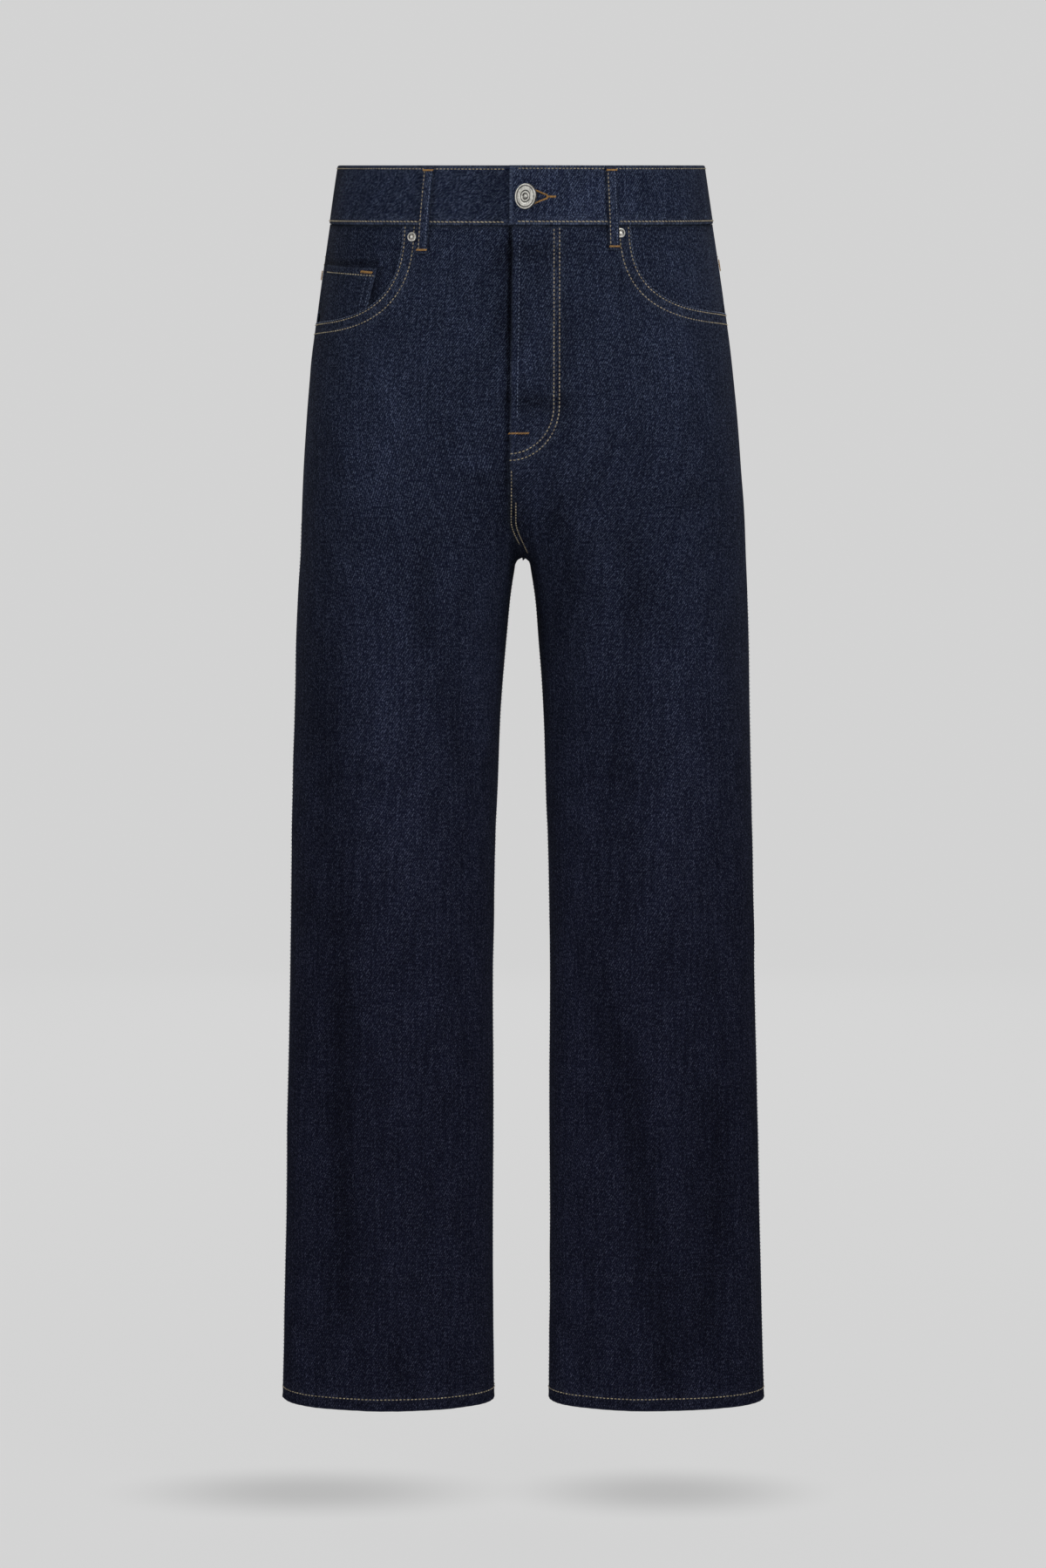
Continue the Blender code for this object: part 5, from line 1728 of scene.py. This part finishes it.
class JEANS_OT_pockets(bpy.types.Operator):
    """Builds the facings in the pocket mouths, the coin pocket and the two back pockets"""

    bl_idname = "jeans.pockets"
    bl_label = "Pockets"

    def execute(self, context):
        for side in (-1, 1):
            self.facing(side)
            self.back_pocket(side)
        self.coin_pocket()
        return {"FINISHED"}

    def sunk_cloth(self, patch, sunk, wall, lines, shade=0.0):
        """A piece that lies under another one, sunk below the plain form."""
        points, normals = plain_form(*patch[1:])
        make_cloth(patch, points - normals * sunk[..., None], normals, wall, lines, shade)

    def facing(self, side):
        mouth = MOUTHS[side]
        rise_ends = mouth.bottom_drop - FACING_SIDE_RISE_ENDS
        rows, columns = FACING_GRID
        levels = np.linspace(WAISTBAND_HEIGHT + SEAM_GAP, FACING_BOTTOM, rows)
        inner_x = FACING_INNER_X + FACING_LEAN * (levels - WAISTBAND_HEIGHT)
        first = turns_at_x(side, "front", side * inner_x, levels)
        turns = first[:, None] + (1 - first[:, None]) * np.linspace(0, 1, columns)[None, :]
        drops = np.repeat(levels[:, None], columns, axis=1)
        sunk = np.full(drops.shape, PANEL_WALL + FACING_CLEAR)
        if side < 0:
            below = (drops - COIN_POCKET_TOP_OUTER) / FACING_BEND_BY_COIN_POCKET
            bend = smoothstep(below + FACING_BEND_STARTS)
            sunk = sunk + (COIN_POCKET_WALL + COIN_POCKET_CLEAR) * bend
        at_side = ramp(turns, COIN_POCKET_OUTER_TURN, 1)
        fall = FACING_SIDE_RISE_ENDS - FACING_SIDE_RISE_GONE
        in_mouth = 1 - smoothstep((drops - rise_ends) / fall)
        sunk = sunk * (1 - at_side * in_mouth)
        node = "pocket_facing_left" if side > 0 else "pocket_facing_right"
        # Painted shadow on the facing along the coin pocket's top edge and beside its inner edge
        shade = np.zeros(drops.shape)
        if side < 0:
            x = -body_point(side, "front", turns, drops)[..., 0]
            edge = coin_pocket_edge(drops)
            above = bell(drops - COIN_POCKET_TOP_OUTER + COIN_SHADE_ABOVE, COIN_SHADE_WIDTH) * (x > edge)
            beside = bell(x - edge + COIN_SHADE_BESIDE, COIN_SHADE_WIDTH) * (drops > COIN_POCKET_TOP_OUTER)
            shade = COIN_SHADE * np.maximum(above, beside)
        self.sunk_cloth(Patch(node, side, "front", turns, drops), sunk, FACING_WALL, [], shade)

    def coin_pocket(self):
        rows, columns = COIN_POCKET_GRID
        top = np.linspace(COIN_POCKET_TOP_INNER, COIN_POCKET_TOP_OUTER, columns)
        parts = np.linspace(0, 1, rows)[:, None]
        drops = top[None, :] + (COIN_POCKET_BOTTOM - top[None, :]) * parts
        levels = drops[:, 0]
        first = turns_at_x(-1, "front", -coin_pocket_edge(levels), levels)
        share = np.linspace(0, 1, columns)[None, :]
        turns = first[:, None] + (COIN_POCKET_OUTER_TURN - first[:, None]) * share
        sunk = np.full(drops.shape, PANEL_WALL + COIN_POCKET_CLEAR)
        patch = Patch("coin_pocket", -1, "front", turns, drops)
        self.sunk_cloth(patch, sunk, COIN_POCKET_WALL, coin_pocket_lines())

    def back_pocket(self, side):
        rows, columns = BACK_POCKET_GRID
        across = np.linspace(-1, 1, columns)
        turns, drops = pocket_places(side, np.linspace(0, 1, rows), across)
        points, normals = worn(side, "back", turns, drops)
        gape = POCKET_GAPE * bell(drops - drops[0], POCKET_GAPE_DEPTH) * (1 - across**2)[None, :]
        outer = points + normals * (BACK_POCKET_SEAT + BACK_POCKET_WALL + gape)[..., None]
        patch = Patch("back_pocket_left" if side > 0 else "back_pocket_right", side, "back", turns, drops)
        make_cloth(patch, outer, normals, BACK_POCKET_WALL, back_pocket_lines(side))


def coin_pocket_edge(drop):
    """x of the coin pocket's slanting inner edge, on the wearer's right."""
    return COIN_POCKET_INNER_X - COIN_POCKET_LEAN * (COIN_POCKET_TOP_INNER - drop)


def coin_pocket_line(xs, drops):
    turns = np.minimum(turns_at_x(-1, "front", -xs, drops), COIN_POCKET_OUTER_TURN - 0.01)
    rise = THREAD_RISE - PANEL_WALL - COIN_POCKET_CLEAR
    return line_on(-1, "front", turns, drops, rise, plain_form, 200)


def coin_pocket_lines():
    """One line under the coin pocket's top edge."""
    xs = np.linspace(COIN_POCKET_INNER_X + 0.002, COIN_POCKET_OUTER_X + 0.0005, 30)
    ends = (COIN_POCKET_INNER_X, COIN_POCKET_OUTER_X), (COIN_POCKET_TOP_INNER, COIN_POCKET_TOP_OUTER)
    return [coin_pocket_line(xs, np.interp(xs, *ends) + COIN_STITCH_BELOW_TOP)]


def coin_pocket_side_lines():
    """Two faint lines down the coin pocket's inner edge."""
    drops = np.linspace(COIN_POCKET_TOP_INNER + 0.004, COIN_STITCH_ENDS, 30)
    return [coin_pocket_line(coin_pocket_edge(drops) + inset, drops) for inset in COIN_STITCH_INSETS]


def back_pocket_lines(side):
    """Two lines round the pocket's sides and point, and two along its hemmed top."""
    lines = []
    rise = BACK_POCKET_SEAT + BACK_POCKET_WALL + THREAD_RISE
    for inset in FELL_STITCHES:
        down = np.linspace(0.02, 1, 40)
        left = pocket_places(side, down, [-1.0], inset)
        below = pocket_places(side, [1.0], np.linspace(-1, 1, 60), inset)
        right = pocket_places(side, down[::-1], [1.0], inset)
        turns = np.concatenate([left[0][:, 0], below[0][0], right[0][:, 0]])
        drops = np.concatenate([left[1][:, 0], below[1][0], right[1][:, 0]])
        lines.append(line_on(side, "back", turns, drops, rise))
    for away in POCKET_TOP_STITCHES:
        across = np.linspace(-0.97, 0.97, 40)
        turns, drops = pocket_places(side, [away / BACK_POCKET_HEIGHT], across, FELL_STITCHES[0])
        lines.append(line_on(side, "back", turns[0], drops[0], rise))
    return lines


class JEANS_OT_waistband(bpy.types.Operator):
    """Builds the waistband, buttoned left over right"""

    bl_idname = "jeans.waistband"
    bl_label = "Waistband"

    def execute(self, context):
        rows, columns = BAND_GRID
        places = np.linspace(BAND_END_TURN, 4 + BAND_UNDERLAP_TURN, columns)
        drops = np.linspace(0.0, WAISTBAND_HEIGHT - SEAM_GAP, rows)
        places = np.repeat(places[None, :], rows, axis=0)
        level = np.repeat(drops[:, None], columns, axis=1)
        outer, normals = band_surface(places, level)
        near = nearness(outer, [band_line(drop) for drop in BAND_STITCHES])
        weave = np.stack([runs(outer), -level], axis=-1)
        made = cloth_wall("waistband_cloth", outer, normals, WAISTBAND_WALL, weave, near, *BAND_CLOTHS)
        tone = BAND_MOTTLE
        for pitch, start in BAND_MOTTLE_WAVES:
            tone = tone * np.sin(places * pitch + start)
        # Painted highlight on the front of the band, none at its top edge
        painted_highlight = BAND_HIGHLIGHT.strength * bell(places - BAND_HIGHLIGHT.place, BAND_HIGHLIGHT.width)
        tone = 1 + tone + painted_highlight * smoothstep(level / BAND_HIGHLIGHT_BELOW)
        # Painted shade beside the band's overlapping end and towards its sides
        for row in BAND_SHADES:
            tone = tone + row.strength * bell(places - row.place, row.width)
        set_point_value(made, "tone", through_wall(tone))
        declare(made, "waistband")
        return {"FINISHED"}


class JEANS_OT_belt_loops(bpy.types.Operator):
    """Builds the five belt loops"""

    bl_idname = "jeans.belt_loops"
    bl_label = "Belt loops"

    def execute(self, context):
        rows, columns = LOOP_GRID
        along = np.linspace(0, 1, rows)
        sideways = np.linspace(-LOOP_WIDTH / 2, LOOP_WIDTH / 2, columns)
        for loop in LOOPS:
            outer, normals = loop_surface(loop, along, sideways)
            near = np.full(outer.shape[:2], LOOP_NEAR)
            across, down = np.broadcast_arrays(sideways[None, :], -along[:, None] * loop.length)
            weave = np.stack([across + LOOP_WEAVE_SHIFT * loop.x, down], axis=-1)
            made = cloth_wall(loop.node + "_cloth", outer, normals, LOOP_WALL, weave, near, *BAND_CLOTHS)
            stand_for(made, loop.node)
            # Painted shade along the loop's side edges and round its rim
            at_edge = ramp(np.abs(sideways) / (LOOP_WIDTH / 2), LOOP_EDGE_FROM, 1)
            tone = np.broadcast_to(1 - LOOP_EDGE_SHADE * at_edge, outer.shape[:2])
            rim = np.full(len(rim_places(*tone.shape)), 1 - LOOP_EDGE_SHADE)
            set_point_value(made, "tone", through_wall(tone, rim))
        return {"FINISHED"}


class JEANS_OT_stitching(bpy.types.Operator):
    """Sews the topstitching, the faint seam stitches and the bar tacks"""

    bl_idname = "jeans.stitching"
    bl_label = "Stitching"

    def execute(self, context):
        sewing = settings()[1]
        stitch, step, width = sewing.stitch, sewing.step, sewing.thread_width

        def sew(lines, wide=width, long=stitch, pitch=step):
            return [stitches_along(line, long, pitch, wide) for line in lines]

        fronts = front_lines(-1) + front_lines(1) + [hem_line(-1, "front"), hem_line(1, "front")]
        thread_object("stitching_front", sew(fronts + coin_pocket_lines()), "thread")
        backs = yoke_lines(-1) + yoke_lines(1) + seat_lines() + [hem_line(-1, "back"), hem_line(1, "back")]
        backs += back_pocket_lines(-1) + back_pocket_lines(1)
        thread_object("stitching_back", sew(backs), "thread")
        top, bottom = [band_line(drop) for drop in BAND_STITCHES]
        band = sew([top], wide=width * 0.92, long=stitch * 0.94, pitch=step * 0.92)
        thread_object("stitching_waistband", band, "thread")
        chain = [stitches_along(bottom, CHAIN_STITCH, CHAIN_STEP, width * 1.10, slant=CHAIN_SLANT)]
        thread_object("chain_stitching", chain, "thread_pale")
        loops, loops_faint = self.loop_lines()
        thread_object("stitching_loops", sew(loops, wide=width * 0.85), "thread")
        fine = FAINT_THREAD_WIDTH
        panels = faint_front_lines(-1) + faint_front_lines(1)
        dots = []
        for lines, long, pitch in zip((panels, coin_pocket_side_lines(), loops_faint), *FAINT_STITCHES):
            dots += sew(lines, wide=fine, long=long, pitch=pitch)
        thread_object("stitching_faint", dots, "thread_dark")
        thread_object("bar_tacks", self.tacks(), "thread_tack")
        return {"FINISHED"}

    def loop_lines(self):
        """The khaki line is on the loop's right-hand side for the wearer, the faint one opposite."""
        khaki, faint = [], []
        along = np.linspace(0.03, 0.97, 60)
        for loop in LOOPS:
            for offset, where in zip(LOOP_STITCHES, (khaki, faint)):
                points, normals = loop_surface(loop, along, np.array([offset * loop.side]), THREAD_RISE)
                where.append(Line(points[:, 0], normals[:, 0]))
        return khaki, faint

    def tacks(self):
        made = []
        for loop in LOOPS:
            for share in LOOP_TACKS_AT:
                points, normals = loop_surface(loop, np.array([share]), np.array([-0.001, 0.0, 0.001]))
                along = points[0, 2] - points[0, 0]
                made.append(tack(points[0, 1], along, normals[0, 1], LOOP_WIDTH * 0.94, LOOP_TACK_WIDTH))
        for row in FRONT_TACKS:
            point, normal = worn(row.side, "front", *place_in_view(row.side, "front", row.x, row.z))
            made.append(tack(point + normal * row.rise, np.array(row.along), normal, row.length, row.width))
        for side, z, length in SIDE_TACKS:
            point, normal = worn(side, "front", SIDE_TACK_TURN, TOP_Z - z)
            made.append(tack(point, np.array([0.0, 0.1, 1.0]), normal, length, SIDE_TACK_WIDTH))
        for side in (-1, 1):
            for across in POCKET_TACKS_AT:
                turns, drops = pocket_places(side, [0.02], [across])
                point, normal = worn(side, "back", turns[0, 0], drops[0, 0])
                lift = normal * (BACK_POCKET_SEAT + BACK_POCKET_WALL)
                made.append(tack(point + lift, np.array([0.0, 0.0, 1.0]), normal, *POCKET_TACK))
        return made


HOLE_TIP_X = 0.0197
HOLE_BAR_END_X = 0.0262
HOLE_EYE_X = 0.0095
HOLE_HALF_HEIGHT = 0.0042
HOLE_THREADS = 22
HOLE_SLIT_HALF = 0.0006
HOLE_EDGE_WIDTH = 0.0013
HOLE_THREAD_HEIGHT = 0.0006
HOLE_BAR_THREADS = 12
HOLE_BAR_HALF_HEIGHT = 0.0009


class JEANS_OT_buttonhole(bpy.types.Operator):
    """Sews the buttonhole's two edges, which meet in a short bar"""

    bl_idname = "jeans.buttonhole"
    bl_label = "Buttonhole"

    def execute(self, context):
        parts = []
        share = np.linspace(0, 1, HOLE_THREADS)
        for way in (-1, 1):
            xs = HOLE_EYE_X + (HOLE_TIP_X - HOLE_EYE_X) * share
            heights = way * (HOLE_SLIT_HALF + HOLE_HALF_HEIGHT * (1 - share) ** 1.1)
            starts, normals = self.on_band(xs, heights)
            ends, _ = self.on_band(xs + 0.0004, heights + way * HOLE_EDGE_WIDTH)
            parts.append(even_threads(starts, ends, normals, 0.00062, HOLE_THREAD_HEIGHT))
        xs = np.linspace(HOLE_TIP_X, HOLE_BAR_END_X, HOLE_BAR_THREADS)
        half = np.full(HOLE_BAR_THREADS, HOLE_BAR_HALF_HEIGHT)
        starts, normals = self.on_band(xs - 0.0003, -half)
        ends, _ = self.on_band(xs + 0.0003, half)
        parts.append(even_threads(starts, ends, normals, 0.0006, HOLE_THREAD_HEIGHT))
        thread_object("buttonhole", parts, "thread_tack")
        return {"FINISHED"}

    def on_band(self, xs, heights):
        """Points on the waistband at x, and at a height above the buttonhole's line."""
        drops = BUTTON_DROP - heights
        return band_surface(turns_at_x(1, "front", xs, drops), drops, THREAD_RISE * 3)


# ----------------------------------------------------------------------
# Metal, modelled with Blender's own tools
# ----------------------------------------------------------------------


TurnRow = namedtuple("TurnRow", "radius height")
LEVEL_SLACK = 0.00001
SMOOTH_UNDER = math.radians(38)


def choose_faces(made, test):
    """Selects the faces whose centre and normal pass the test, in edit mode's face mode."""
    bpy.ops.object.mode_set(mode="OBJECT")
    for polygon in made.data.polygons:
        polygon.select = bool(test(polygon.center, polygon.normal))
    bpy.ops.object.mode_set(mode="EDIT")
    bpy.context.tool_settings.mesh_select_mode = (False, False, True)


def start_piece(name, sides, radius, height):
    """A cylinder that stands on the origin, ready to be worked in edit mode."""
    bpy.ops.object.select_all(action="DESELECT")
    bpy.ops.mesh.primitive_cylinder_add(
        vertices=sides, radius=radius, depth=height, location=(0, 0, height / 2)
    )
    bpy.ops.object.transform_apply(location=True, rotation=False, scale=False)
    made = bpy.context.object
    made.name = name
    made.data.name = name
    bpy.ops.object.mode_set(mode="EDIT")
    bpy.ops.mesh.select_all(action="DESELECT")
    return made


def turn_top(made, radius, level, steps):
    """Works the round top face as on a lathe: each step takes it to a radius and a height."""
    for step in steps:
        rise = step.height - level
        choose_faces(made, lambda centre, normal: normal.z > 0.9 and centre.xy.length < LEVEL_SLACK)
        if step.radius < radius:
            bpy.ops.mesh.inset(thickness=radius - step.radius, depth=rise)
        else:
            bpy.ops.mesh.extrude_region_move(TRANSFORM_OT_translate={"value": (0, 0, rise)})
            scale = step.radius / radius
            bpy.ops.transform.resize(value=(scale, scale, 1), center_override=(0, 0, step.height))
        radius, level = step.radius, step.height
    bpy.ops.object.mode_set(mode="OBJECT")


def set_in_place(made, place, axis, node):
    """Stands a finished piece on its place, with its size and turn in its mesh."""
    bpy.ops.object.mode_set(mode="OBJECT")
    made.data.materials.append(bpy.data.materials["silver"])
    stand = Vector((0, 0, 1)).rotation_difference(Vector(axis)).to_matrix().to_4x4()
    made.data.transform(Matrix.Translation(Vector(place)) @ stand)
    made.matrix_world = Matrix.Identity(4)
    for polygon in made.data.polygons:
        polygon.use_smooth = True
    bpy.ops.object.shade_smooth_by_angle(angle=SMOOTH_UNDER)
    stand_for(made, node)


def hollow_values(made, low, high):
    """How deep each point lies below the piece's highest level, before it is set in place."""
    heights = np.array([vertex.co.z for vertex in made.data.vertices])
    set_point_value(made, "hollow", 1 - ramp(heights, low, high))


class JEANS_OT_button(bpy.types.Operator):
    """Turns the tack button: a stem, a rimmed head, a ring of plain dots and a raised centre"""

    bl_idname = "jeans.button"
    bl_label = "Button"

    def execute(self, context):
        turn = turn_at_x(1, "front", BUTTON_X, BUTTON_DROP)
        place = body_point(1, "front", turn, BUTTON_DROP)
        axis = (-math.sin(BUTTON_YAW), -math.cos(BUTTON_YAW), 0)
        low_edge = BUTTON_STEM_RADIUS * math.sin(BUTTON_YAW)
        foot = place + np.array([0, -(WAISTBAND_PROUD + BAND_TOP_LIFT + SEAM_GAP) - low_edge, 0])
        head = BUTTON_STEM_LENGTH
        made = start_piece("fly_button_metal", 64, BUTTON_STEM_RADIUS, head)
        rim, face = BUTTON_RADIUS, head + BUTTON_THICK
        groove = face - BUTTON_GROOVE
        ring = BUTTON_RING_RADIUS
        low, high = face - BUTTON_RIM * 0.35, face - BUTTON_RIM * 0.15
        steps = (
            TurnRow(rim * 0.80, head + 0.0001),
            TurnRow(rim * 0.96, head + BUTTON_THICK * 0.25),
            TurnRow(rim, head + BUTTON_THICK * 0.50),
            TurnRow(rim * 0.985, head + BUTTON_THICK * 0.78),
            TurnRow(rim * 0.95, face),
            TurnRow(rim * 0.87, face),
            TurnRow(rim * 0.84, groove),
            TurnRow(rim * 0.79, groove),
            TurnRow(rim * 0.76, low),
            TurnRow(rim * 0.50, low),
            TurnRow(rim * 0.47, groove),
            TurnRow(rim * 0.42, groove),
            TurnRow(ring * 1.20, high),
            TurnRow(ring * 0.95, high),
            TurnRow(ring * 0.85, groove),
            TurnRow(ring * 0.65, groove),
            TurnRow(ring * 0.50, low),
            TurnRow(ring * 0.20, face),
        )
        turn_top(made, BUTTON_STEM_RADIUS, head, steps)
        top = max(vertex.co.z for vertex in made.data.vertices)
        self.add_dots(made, top)
        hollow_values(made, top - BUTTON_GROOVE, top - BUTTON_RIM * 0.4)
        set_in_place(made, foot, axis, "fly_button")
        return {"FINISHED"}

    def add_dots(self, made, top):
        """A ring of small plain dots in the sunk band between the rim and the centre."""
        middle = BUTTON_RADIUS * BUTTON_DOTS_AT
        dots = []
        for k in range(BUTTON_DOTS):
            angle = 2 * math.pi * k / BUTTON_DOTS
            bpy.ops.object.select_all(action="DESELECT")
            bpy.ops.mesh.primitive_uv_sphere_add(
                segments=10,
                ring_count=6,
                radius=BUTTON_DOT_RADII[k % 2],
                location=(middle * math.cos(angle), middle * math.sin(angle), top - BUTTON_RIM * 0.45),
            )
            dots.append(bpy.context.object)
        bpy.ops.object.select_all(action="DESELECT")
        for dot in dots:
            dot.select_set(True)
        made.select_set(True)
        bpy.context.view_layer.objects.active = made
        bpy.ops.object.join()


class JEANS_OT_rivets(bpy.types.Operator):
    """Turns the two rivets at the tops of the pocket mouths"""

    bl_idname = "jeans.rivets"
    bl_label = "Rivets"

    def execute(self, context):
        for row in RIVETS:
            turn = turn_at_x(row.side, "front", row.side * row.x, row.drop)
            place, normal = worn(row.side, "front", turn, row.drop)
            made = start_piece(row.node + "_metal", 40, RIVET_RADIUS, RIVET_THICK * 0.5)
            wide, top = RIVET_RADIUS, RIVET_THICK
            steps = (
                TurnRow(wide * 0.95, top * 0.82),
                TurnRow(wide * 0.86, top),
                TurnRow(wide * 0.76, top),
                TurnRow(wide * 0.66, top * 0.30),
                TurnRow(wide * 0.34, top * 0.30),
                TurnRow(wide * 0.30, top * 0.90),
                TurnRow(wide * 0.18, top * 1.00),
            )
            turn_top(made, wide, top * 0.5, steps)
            hollow_values(made, RIVET_THICK * 0.35, RIVET_THICK * 0.85)
            set_in_place(made, place + normal * SEAM_GAP, normal, row.node)
        return {"FINISHED"}


# ----------------------------------------------------------------------
# Stage
# ----------------------------------------------------------------------

CAMERA_PLACE = (0.0, -3.0, -0.22675)
CAMERA_DIP = math.radians(4.68)
PICTURE_HEIGHT = 1799
LENS_IN_PIXELS = 4268
SHIFT_IN_PIXELS = 2
SENSOR = 36.0
FLOOR_Z = -1.066
WALL_DISTANCE = 5.0
WALL_TOP_Z = 6.0
COVE_RADIUS = 1.4
COVE_SIDES = 96
# Painted shadows on the floor under the legs
PoolRow = namedtuple("PoolRow", "x y half_wide half_deep")
POOLS = (PoolRow(-0.176, 0.035, 0.188, 0.092), PoolRow(0.120, 0.035, 0.152, 0.092))
POOL_DEPTH = 0.25
WORLD_STRENGTH = 0.09
LightRow = namedtuple("LightRow", "name place aim size share")
LIGHTS = (
    LightRow("key", (1.55, -1.65, 0.75), (0.0, 0.0, -0.2), (0.7, 1.2), 1.0),
    LightRow("left_fill", (-1.75, -1.55, 0.70), (0.0, 0.0, -0.2), (0.7, 1.2), 0.64),
    LightRow("front_fill", (-0.1, -3.4, -0.2), (0.0, 0.0, -0.4), (1.6, 1.6), 1.05),
    LightRow("low_fill", (0.1, -1.7, -0.95), (0.0, 0.0, -0.30), (1.2, 0.4), 0.22),
    LightRow("glint", (-1.92, -0.69, 0.14), (0.0, -0.12, -0.01), (0.3, 0.3), 0.06),
    LightRow("back_fill", (0.0, 3.2, 0.1), (0.0, 0.0, -0.4), (1.6, 1.6), 0.7),
    LightRow("back_left", (-1.4, 2.0, 1.0), (0.0, 0.0, -0.3), (1.2, 1.2), 0.9),
    LightRow("back_right", (1.4, 2.0, 1.0), (0.0, 0.0, -0.3), (1.2, 1.2), 0.9),
)


class JEANS_OT_stage(bpy.types.Operator):
    """Sets up the pale cove, the soft lights and the camera"""

    bl_idname = "jeans.stage"
    bl_label = "Stage"

    def execute(self, context):
        stage = settings()[3]
        self.cove(stage)
        for row in LIGHTS:
            data = bpy.data.lights.new(row.name, "AREA")
            data.shape = "RECTANGLE"
            data.size, data.size_y = row.size
            data.energy = stage.key_power * row.share
            made = bpy.data.objects.new(row.name, data)
            made.location = row.place
            aim = Vector(row.aim) - Vector(row.place)
            made.rotation_euler = aim.to_track_quat("-Z", "Y").to_euler()
            made.visible_camera = False
            context.scene.collection.objects.link(made)
        world = bpy.data.worlds.new("studio")
        world.use_nodes = True
        background = world.node_tree.nodes["Background"]
        background.inputs["Color"].default_value = (1.0, 1.0, 1.0, 1.0)
        background.inputs["Strength"].default_value = WORLD_STRENGTH
        context.scene.world = world
        self.camera(context)
        context.scene.view_settings.view_transform = "Standard"
        return {"FINISHED"}

    def cove(self, stage):
        """A round floor that curves up into a wall all the way round."""
        profile = [(0.5, FLOOR_Z)]
        for a in np.linspace(0, math.pi / 2, 13):
            out = WALL_DISTANCE - COVE_RADIUS + COVE_RADIUS * math.sin(a)
            profile.append((out, FLOOR_Z + COVE_RADIUS - COVE_RADIUS * math.cos(a)))
        profile.append((WALL_DISTANCE, WALL_TOP_Z))
        points = [(0.0, 0.0, FLOOR_Z)]
        for out, z in profile:
            for a in np.linspace(0, 2 * math.pi, COVE_SIDES, endpoint=False):
                points.append((out * math.cos(a), out * math.sin(a), z))
        faces = [(0, 1 + k, 1 + (k + 1) % COVE_SIDES) for k in range(COVE_SIDES)]
        for row in range(len(profile) - 1):
            first = 1 + row * COVE_SIDES
            for k in range(COVE_SIDES):
                after = (k + 1) % COVE_SIDES
                faces.append((first + k, first + COVE_SIDES + k, first + COVE_SIDES + after, first + after))
        backdrop_material(stage)
        made = new_object("cove", np.array(points), faces, finishes("backdrop"))
        made.visible_diffuse = False
        made.visible_glossy = False
        made.visible_shadow = False

    def camera(self, context):
        data = bpy.data.cameras.new("camera")
        data.sensor_fit = "VERTICAL"
        data.sensor_height = SENSOR
        data.sensor_width = SENSOR
        data.lens = LENS_IN_PIXELS / PICTURE_HEIGHT * SENSOR
        data.shift_x = SHIFT_IN_PIXELS / PICTURE_HEIGHT
        made = bpy.data.objects.new("camera", data)
        made.location = CAMERA_PLACE
        made.rotation_euler = (math.pi / 2 - CAMERA_DIP, 0, 0)
        context.scene.collection.objects.link(made)
        context.scene.camera = made


class JEANS_PT_panel(bpy.types.Panel):
    """Lists the settings and the steps"""

    bl_idname = "JEANS_PT_panel"
    bl_label = "Jeans"
    bl_space_type = "VIEW_3D"
    bl_region_type = "UI"
    bl_category = "Jeans"

    def draw(self, context):
        layout = self.layout
        for group in settings():
            box = layout.box()
            for name in group.__annotations__:
                box.prop(group, name)
        for operator in OPERATORS:
            layout.operator(operator.bl_idname)


SETTINGS = (
    ("jeans_cloth", ClothSettings),
    ("jeans_sewing", SewingSettings),
    ("jeans_trim", TrimSettings),
    ("jeans_stage", StageSettings),
)
OPERATORS = (
    JEANS_OT_materials,
    JEANS_OT_fronts,
    JEANS_OT_backs,
    JEANS_OT_pockets,
    JEANS_OT_waistband,
    JEANS_OT_belt_loops,
    JEANS_OT_stitching,
    JEANS_OT_buttonhole,
    JEANS_OT_button,
    JEANS_OT_rivets,
    JEANS_OT_stage,
)


def register():
    for name, kind in SETTINGS:
        bpy.utils.register_class(kind)
        setattr(bpy.types.Scene, name, bpy.props.PointerProperty(type=kind))
    for kind in (*OPERATORS, JEANS_PT_panel):
        bpy.utils.register_class(kind)


def unregister():
    for kind in (JEANS_PT_panel, *reversed(OPERATORS)):
        bpy.utils.unregister_class(kind)
    for name, kind in reversed(SETTINGS):
        delattr(bpy.types.Scene, name)
        bpy.utils.unregister_class(kind)


def main():
    register()
    for operator in OPERATORS:
        group, name = operator.bl_idname.split(".")
        getattr(getattr(bpy.ops, group), name)()


if __name__ == "__main__":
    main()
